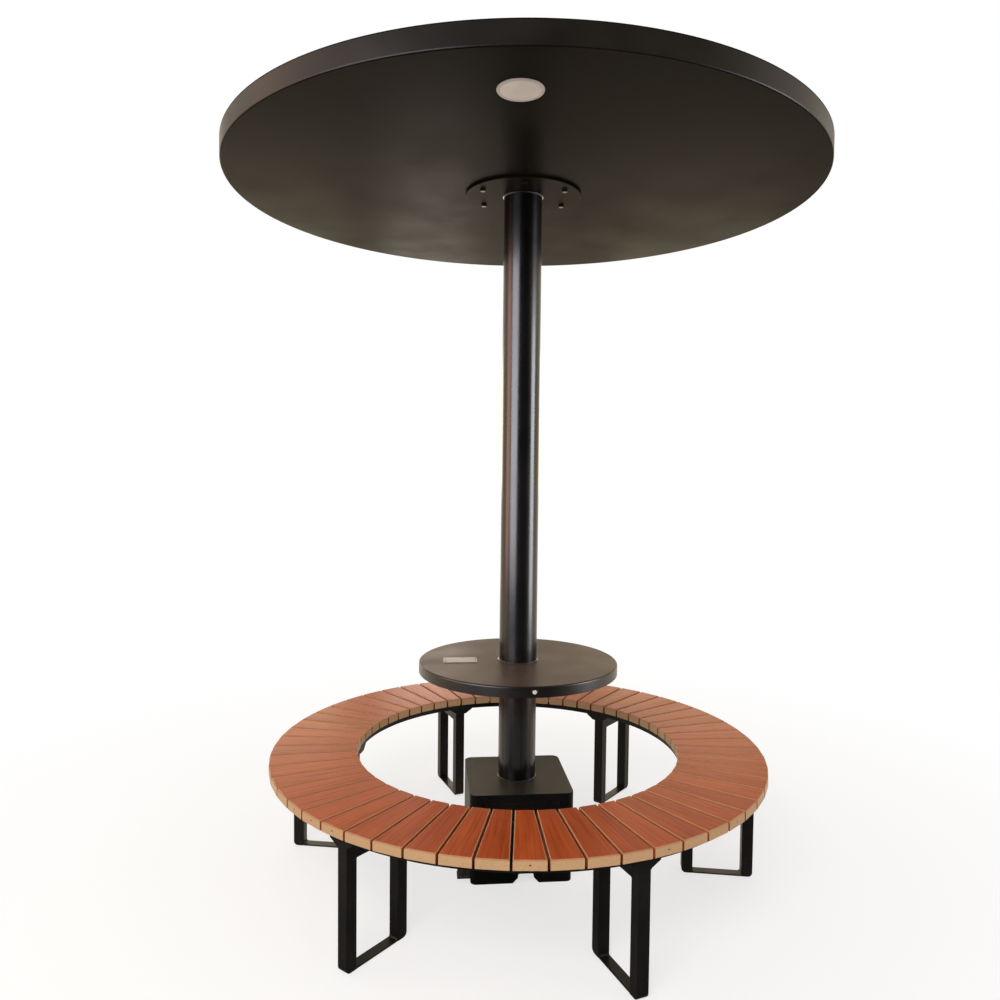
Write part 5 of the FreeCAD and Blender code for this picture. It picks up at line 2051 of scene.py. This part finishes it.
@dataclass
class Bench:
    """Ring of boards on two channels, ties and six leg loops."""

    outer: float = 0.900
    inner: float = 0.592
    seat: float = 0.450
    board_bottom: float = 0.420
    board_count: int = 56
    board_azimuth: float = 1.05
    tone_seed: int = 7
    gap: float = 0.008
    arris: float = 0.004
    arris_stain_sanded_and_painted_highlight: float = 0.4
    side_stain: float = 0.9
    top_from: float = 0.98
    arris_from: float = 0.05
    end_from: float = 0.8
    channel_bottom: float = 0.400
    channel_wall: float = 0.003
    channel_rounds: Radii = (0.0006, 0.0006, 0.001, 0.001, 0.0006, 0.0006, 0.002, 0.002)
    outer_channel: Point = (0.844, 0.874)
    inner_channel: Point = (0.600, 0.630)
    screw_head: float = 0.005
    screw_head_height: float = 0.003
    screw_edge: float = 0.0012
    tie_play: float = 0.0006
    leg_count: int = 6
    leg_azimuth: float = 23.1
    tube: float = 0.040
    outer_post: float = -0.850
    inner_post: float = -0.636
    leg_rounds: Radii = (0.016, 0.0, 0.003, 0.003, 0.0, 0.016, 0.0, 0.0)
    strap_half: float = 0.018
    strap_thickness: float = 0.005
    plate_half: float = 0.050
    plate_thickness: float = 0.022
    plate_edge: float = 0.003
    plate_margin: float = 0.005
    weld: float = 0.005
    collar: float = 0.0016

    def make_board(self) -> Piece:
        """One tapered board at the front, with eased edges, its own coordinates and its share of stain."""
        half_pitch = math.pi / self.board_count
        ease = self.gap / 2 / math.cos(half_pitch)
        wide = self.outer * math.tan(half_pitch) - ease
        slim = self.inner * math.tan(half_pitch) - ease
        outline = [(-wide, -self.outer), (wide, -self.outer), (slim, -self.inner), (-slim, -self.inner)]
        board = prism("board", outline, self.board_bottom, self.seat)
        work = bmesh.new()
        work.from_mesh(board.data)
        upper = [e for e in work.edges if all(v.co.z > self.seat - LEVEL for v in e.verts)]
        bmesh.ops.bevel(
            work, geom=upper, offset=self.arris, segments=4, profile=0.5, affect="EDGES", clamp_overlap=True
        )
        work.to_mesh(board.data)
        work.free()
        keep_place(board, "board_place")
        stain = board.data.attributes.new("stain", "FLOAT", "FACE")
        for face in board.data.polygons:
            stain.data[face.index].value = self.stain_on(face.normal)
        return board

    def stain_on(self, normal: Vector) -> float:
        """How much stain a face of a board took: all on top, little on the arris, which is pale partly from
        sanding and partly as a painted highlight, none on the ends.

        Args:
            normal: the face's direction.

        Returns:
            The share of stain.
        """
        if normal.z > self.top_from:
            return 1.0
        if normal.z > self.arris_from:
            return self.arris_stain_sanded_and_painted_highlight
        if abs(normal.y) > self.end_from:
            return 0.0
        return self.side_stain

    def build_boards(self) -> None:
        """Spread the boards round the ring, with the screws that hold them from below."""
        spread_out = self.board_count, self.board_azimuth
        boards = round_column("seat_boards", self.make_board(), *spread_out, TIMBER, self.tone_seed)
        settle(carve(boards), TIMBER, "bench_slats")
        seat = self.board_bottom - self.channel_wall
        head = pan_head(self.screw_head, seat, -self.screw_edge, -self.screw_head_height)
        axes = [(0.0, -sum(channel) / 2) for channel in (self.inner_channel, self.outer_channel)]
        pair = [carve(lathe("board_screw", head, Turn.BOARD_SCREW, axis)) for axis in axes]
        screws = round_column("board_screws", joined("board_screw_pair", pair), *spread_out, ZINC)
        settle(screws, ZINC, "slat_screws")

    def build_channels(self) -> None:
        """Turn the two rolled channels and spread the ties between them."""
        for name, node, radii in (
            ("outer_channel", "bench_outer_ring", self.outer_channel),
            ("inner_channel", "bench_inner_ring", self.inner_channel),
        ):
            low, high = radii
            wall, web = self.channel_wall, self.board_bottom - self.channel_wall
            corners = [
                (low, self.channel_bottom),
                (low + wall, self.channel_bottom),
                (low + wall, web),
                (high - wall, web),
                (high - wall, self.channel_bottom),
                (high, self.channel_bottom),
                (high, self.board_bottom),
                (low, self.board_bottom),
            ]
            profile = rounded(corners, self.channel_rounds, steps=3)
            settle(carve(lathe(name, profile, Turn.CHANNEL)), BENCH_COAT, node)
        half = self.tube / 2
        tie = block(
            "tie",
            (-half, -self.outer_channel[0] + self.tie_play, self.channel_bottom),
            (half, -self.inner_channel[1] - self.tie_play, self.board_bottom),
        )
        tie = carve(tie, edge=Edge.TIE_TUBE)
        ties = round_column("bench_tie_bars", tie, self.leg_count, self.leg_azimuth, BENCH_COAT)
        settle(ties, BENCH_COAT, "bench_ties")

    def make_leg(self, name: str) -> Piece:
        """One loop at the front: square tube with round toes, a floor strap, flared plates and welds.

        Args:
            name: the object's name.

        Returns:
            The leg.
        """
        half = self.tube / 2
        plate_low = self.channel_bottom - self.plate_thickness
        bar_low = plate_low - self.tube
        front, front_in = self.outer_post - half, self.outer_post + half
        back, back_in = self.inner_post + half, self.inner_post - half
        outline = [
            (front, 0.0),
            (front_in, 0.0),
            (front_in, bar_low),
            (back_in, bar_low),
            (back_in, 0.0),
            (back, 0.0),
            (back, plate_low),
            (front, plate_low),
        ]
        soft = rounded(outline, self.leg_rounds)
        parts = [carve(self.across("leg_loop", soft, half), edge=Edge.LEG_TUBE, steps=3)]
        top = self.strap_thickness
        strap = block("leg_strap", (-self.strap_half, front_in, 0.0), (self.strap_half, back_in, top))
        parts.append(carve(strap, edge=Edge.SHEET))
        for foot, run in ((front_in, self.weld), (back_in, -self.weld)):
            bead = [(foot, top), (foot + run, top), (foot, top + self.weld)]
            parts.append(carve(self.across("strap_weld", bead, self.strap_half), edge=Edge.SHEET))
        margin = self.plate_margin
        for low, high in (
            (-self.outer_channel[1], front_in + margin),
            (back_in - margin, -self.inner_channel[0]),
        ):
            plate = side_prism("leg_plate", self.plate_outline(), low, high)
            parts.append(carve(plate, edge=Edge.PLATE))
        collar = half + self.collar
        for post in (self.outer_post, self.inner_post):
            low = (-collar, post - collar, plate_low - self.weld)
            weld = block("post_weld", low, (collar, post + collar, plate_low))
            parts.append(carve(weld, edge=Edge.WELD, steps=3))
        return joined(name, parts)

    def across(self, name: str, outline: Sequence[Point], half: float) -> Piece:
        """A prism across a leg on an outline of y and z."""
        return turned(side_prism(name, outline, -half, half), 90.0)

    def plate_outline(self) -> list[Point]:
        """Outline of a flared plate, as x and z."""
        reach, foot = self.plate_half, self.tube / 2
        low = self.channel_bottom - self.plate_thickness
        edge = self.channel_bottom - self.plate_edge
        right = [(foot, low), (reach, edge), (reach, self.channel_bottom)]
        return right + [(-x, z) for x, z in reversed(right)]

    def build_legs(self) -> None:
        """Make the six leg loops."""
        for k in range(self.leg_count):
            azimuth = self.leg_azimuth + 360.0 / self.leg_count * k
            leg = turned(self.make_leg("leg_frame_%d" % (k + 1)), azimuth)
            settle(leg, BENCH_COAT, "bench_leg_%d" % (k + 1))

    def build(self) -> None:
        """Make the bench from its boards to its legs."""
        self.build_boards()
        self.build_channels()
        self.build_legs()


# Studio


@dataclass(frozen=True)
class Lamp:
    """A soft panel of light round the object, with its brightness as a share of white.

    It can light surfaces, show in their gloss, or both."""

    name: str
    azimuth: float
    distance: float
    height: float
    aim: float
    size: Point
    brightness: float
    colour: str
    lights: bool = True
    shows: bool = True


@dataclass
class Studio:
    """Pale floor, soft lamps, white surroundings and the photograph's camera."""

    lens: float = 28.713
    sensor: float = 36.0
    eye: Spot = (-0.0735, -2.9681, 1.5003)
    pitch: float = -0.0462
    roll: float = 0.0104
    far: float = 200.0
    white: str = "#FFFFFF"
    warm: str = "#FFF0DA"
    dim: str = "#404040"
    dim_span: Point = (-0.05, -0.75)
    ambient: float = 0.66
    ambient_colour: str = "#FBF8F4"
    floor_radius: float = 30.0
    floor_parts: int = 96
    floor_low: float = -0.05
    floor_top: float = -0.0005
    floor_colour: str = "#DCDAD6"
    shade_colour: str = "#A8A8A8"
    shade_glow: float = 0.66
    fade: Point = (1.3, 3.2)
    lamps: tuple[Lamp, ...] = (
        Lamp("key_front", -20.0, 4.6, 4.0, 0.6, (2.6, 1.6), 8.0, "#FFF8F0", shows=False),
        Lamp("sky_left", -82.0, 4.4, 4.4, 1.2, (2.6, 1.2), 1.8, "#FFD9C8"),
        Lamp("window_left", -40.0, 4.2, 1.95, 1.95, (3.0, 2.9), 8.5, "#F6F4FC", lights=False),
        Lamp("wall_left", -80.0, 4.2, 1.9, 1.9, (1.9, 2.7), 4.4, "#FFBCA4", lights=False),
        Lamp("wall_right", 77.0, 4.2, 1.5, 1.5, (1.8, 2.8), 9.0, "#FAFAFF", lights=False),
        Lamp("doorway_back", -171.0, 5.1, 1.2, 1.2, (0.8, 1.8), 2.9, "#FFF1E2"),
        Lamp("wall_back", 180.0, 5.6, 1.9, 1.9, (10.0, 3.8), 0.55, "#F2D8A0"),
        Lamp("window_back_left", -150.0, 6.4, 1.95, 1.95, (3.0, 1.6), 3.0, "#FFF0CC", lights=False),
        Lamp("window_back_right", 161.0, 5.9, 1.95, 1.95, (1.7, 1.5), 1.6, "#FFF0CC", lights=False),
    )

    def build_camera(self) -> None:
        """Set the camera where the photograph was taken."""
        data = bpy.data.cameras.new("photo_camera")
        data.sensor_width = self.sensor
        data.lens = self.lens
        data.clip_end = self.far
        camera = link("photo_camera", data)
        ahead = Vector((0.0, math.cos(self.pitch), math.sin(self.pitch)))
        above = Vector((0.0, -math.sin(self.pitch), math.cos(self.pitch)))
        right = Vector((1.0, 0.0, 0.0))
        across = right * math.cos(self.roll) + above * math.sin(self.roll)
        up = above * math.cos(self.roll) - right * math.sin(self.roll)
        turn = Matrix((across, up, -ahead)).transposed().to_4x4()
        camera.matrix_world = Matrix.Translation(self.eye) @ turn
        bpy.context.scene.camera = camera

    def seen(self, tree: Tree) -> Output:
        """Share of 1 for rays that show the surroundings to the camera, in gloss or through glass.

        Args:
            tree: the tree that needs it.

        Returns:
            The share.
        """
        path = add_node(tree, "ShaderNodeLightPath").outputs
        share = path["Is Camera Ray"]
        for kind in ("Is Glossy Ray", "Is Transmission Ray"):
            larger = add_node(tree, "ShaderNodeMath", {"operation": "MAXIMUM"}, {0: share, 1: path[kind]})
            share = larger.outputs[0]
        return share

    def backdrop(self, tree: Tree, heading: Output) -> Output:
        """Colour of the surroundings: white, but in gloss a warm room with a dim side behind the camera.

        Args:
            tree: the tree that needs it.
            heading: the direction from the object.

        Returns:
            The colour.
        """
        depth = add_node(tree, "ShaderNodeSeparateXYZ", inputs={0: heading}).outputs["Y"]
        start, end = self.dim_span
        behind = add_node(
            tree, "ShaderNodeMapRange", inputs={"Value": depth, "From Min": start, "From Max": end}
        ).outputs[0]
        glossy = add_node(tree, "ShaderNodeLightPath").outputs["Is Glossy Ray"]
        dim = add_node(tree, "ShaderNodeMath", {"operation": "MULTIPLY"}, {0: behind, 1: glossy}).outputs[0]
        room = tint(tree, glossy, WHOLE, self.white, self.warm)
        return tint(tree, dim, WHOLE, room, self.dim)

    def build_world(self) -> None:
        """White to look at, a warm room with a dim side in gloss, and even light from all round."""
        world = bpy.data.worlds.new("white_studio")
        bpy.context.scene.world = world
        tree = clean_tree(world)
        heading = add_node(tree, "ShaderNodeTexCoord").outputs["Generated"]
        shown = self.backdrop(tree, heading)
        white = add_node(tree, "ShaderNodeBackground", inputs={"Color": shown, "Strength": 1.0})
        light = linear(self.ambient_colour)
        even = add_node(tree, "ShaderNodeBackground", inputs={"Color": light, "Strength": self.ambient})
        mixed = add_node(
            tree,
            "ShaderNodeMixShader",
            inputs={0: self.seen(tree), 1: even.outputs[0], 2: white.outputs[0]},
        )
        add_node(tree, "ShaderNodeOutputWorld", inputs={"Surface": mixed.outputs[0]})

    def build_floor(self) -> None:
        """A pale round floor that keeps the object's shadow and turns white further out."""
        turn = [2 * math.pi * k / self.floor_parts for k in range(self.floor_parts)]
        outline = [(self.floor_radius * math.cos(a), self.floor_radius * math.sin(a)) for a in turn]
        floor = prism("studio_floor", outline, self.floor_low, self.floor_top)
        made = bpy.data.materials.new("painted_studio_floor")
        tree = clean_tree(made)
        place = add_node(tree, "ShaderNodeTexCoord").outputs["Object"]
        vectors = "ShaderNodeVectorMath"
        away = add_node(tree, vectors, {"operation": "LENGTH"}, {0: place}).outputs["Value"]
        edge = add_node(
            tree,
            "ShaderNodeMapRange",
            {"interpolation_type": "SMOOTHSTEP"},
            {"Value": away, "From Min": self.fade[0], "From Max": self.fade[1]},
        ).outputs[0]
        heading = add_node(tree, vectors, {"operation": "NORMALIZE"}, {0: place}).outputs["Vector"]
        backdrop = self.backdrop(tree, heading)
        pale = add_node(tree, "ShaderNodeBsdfDiffuse", inputs={"Color": linear(self.floor_colour)})
        shade = add_node(tree, "ShaderNodeBsdfDiffuse", inputs={"Color": linear(self.shade_colour)})
        glow = add_node(tree, "ShaderNodeEmission", inputs={"Color": backdrop, "Strength": self.shade_glow})
        white = add_node(tree, "ShaderNodeEmission", inputs={"Color": backdrop, "Strength": 1.0})
        near = add_node(tree, "ShaderNodeAddShader", inputs={0: shade.outputs[0], 1: glow.outputs[0]})
        shown = add_node(
            tree, "ShaderNodeMixShader", inputs={0: edge, 1: near.outputs[0], 2: white.outputs[0]}
        )
        mixed = add_node(
            tree,
            "ShaderNodeMixShader",
            inputs={0: self.seen(tree), 1: pale.outputs[0], 2: shown.outputs[0]},
        )
        add_node(tree, "ShaderNodeOutputMaterial", inputs={"Surface": mixed.outputs[0]})
        floor.data.materials.append(made)

    def add_lamp(self, lamp: Lamp) -> None:
        """Hang a panel and point it at the column.

        Args:
            lamp: the panel.
        """
        data = bpy.data.lights.new(lamp.name, "AREA")
        data.shape = "RECTANGLE"
        data.size, data.size_y = lamp.size
        data.energy = lamp.brightness * math.pi * lamp.size[0] * lamp.size[1]
        data.color = linear(lamp.colour)[:3]
        made = link(lamp.name, data)
        angle = math.radians(lamp.azimuth)
        spot = Vector((lamp.distance * math.sin(angle), -lamp.distance * math.cos(angle), lamp.height))
        ahead = Vector((0.0, 0.0, lamp.aim)) - spot
        made.matrix_world = Matrix.Translation(spot) @ ahead.to_track_quat("-Z", "Y").to_matrix().to_4x4()
        made.visible_camera = False
        made.visible_diffuse = lamp.lights
        made.visible_glossy = lamp.shows

    def build(self) -> None:
        """Set the camera, the surroundings, the floor and the lamps."""
        bpy.context.scene.view_settings.view_transform = "Standard"
        self.build_camera()
        self.build_world()
        self.build_floor()
        for lamp in self.lamps:
            self.add_lamp(lamp)


def main() -> None:
    """Build the table in order."""
    logging.basicConfig(level=logging.INFO, format="%(name)s: %(message)s")
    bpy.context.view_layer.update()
    Studio().build()
    socket = SocketBox()
    button = PushButton()
    Canopy().build()
    Column().build()
    Table().build([socket.cutter(), button.cutter()])
    socket.build()
    button.build()
    Foot().build()
    Bench().build()


if __name__ == "__main__":
    main()
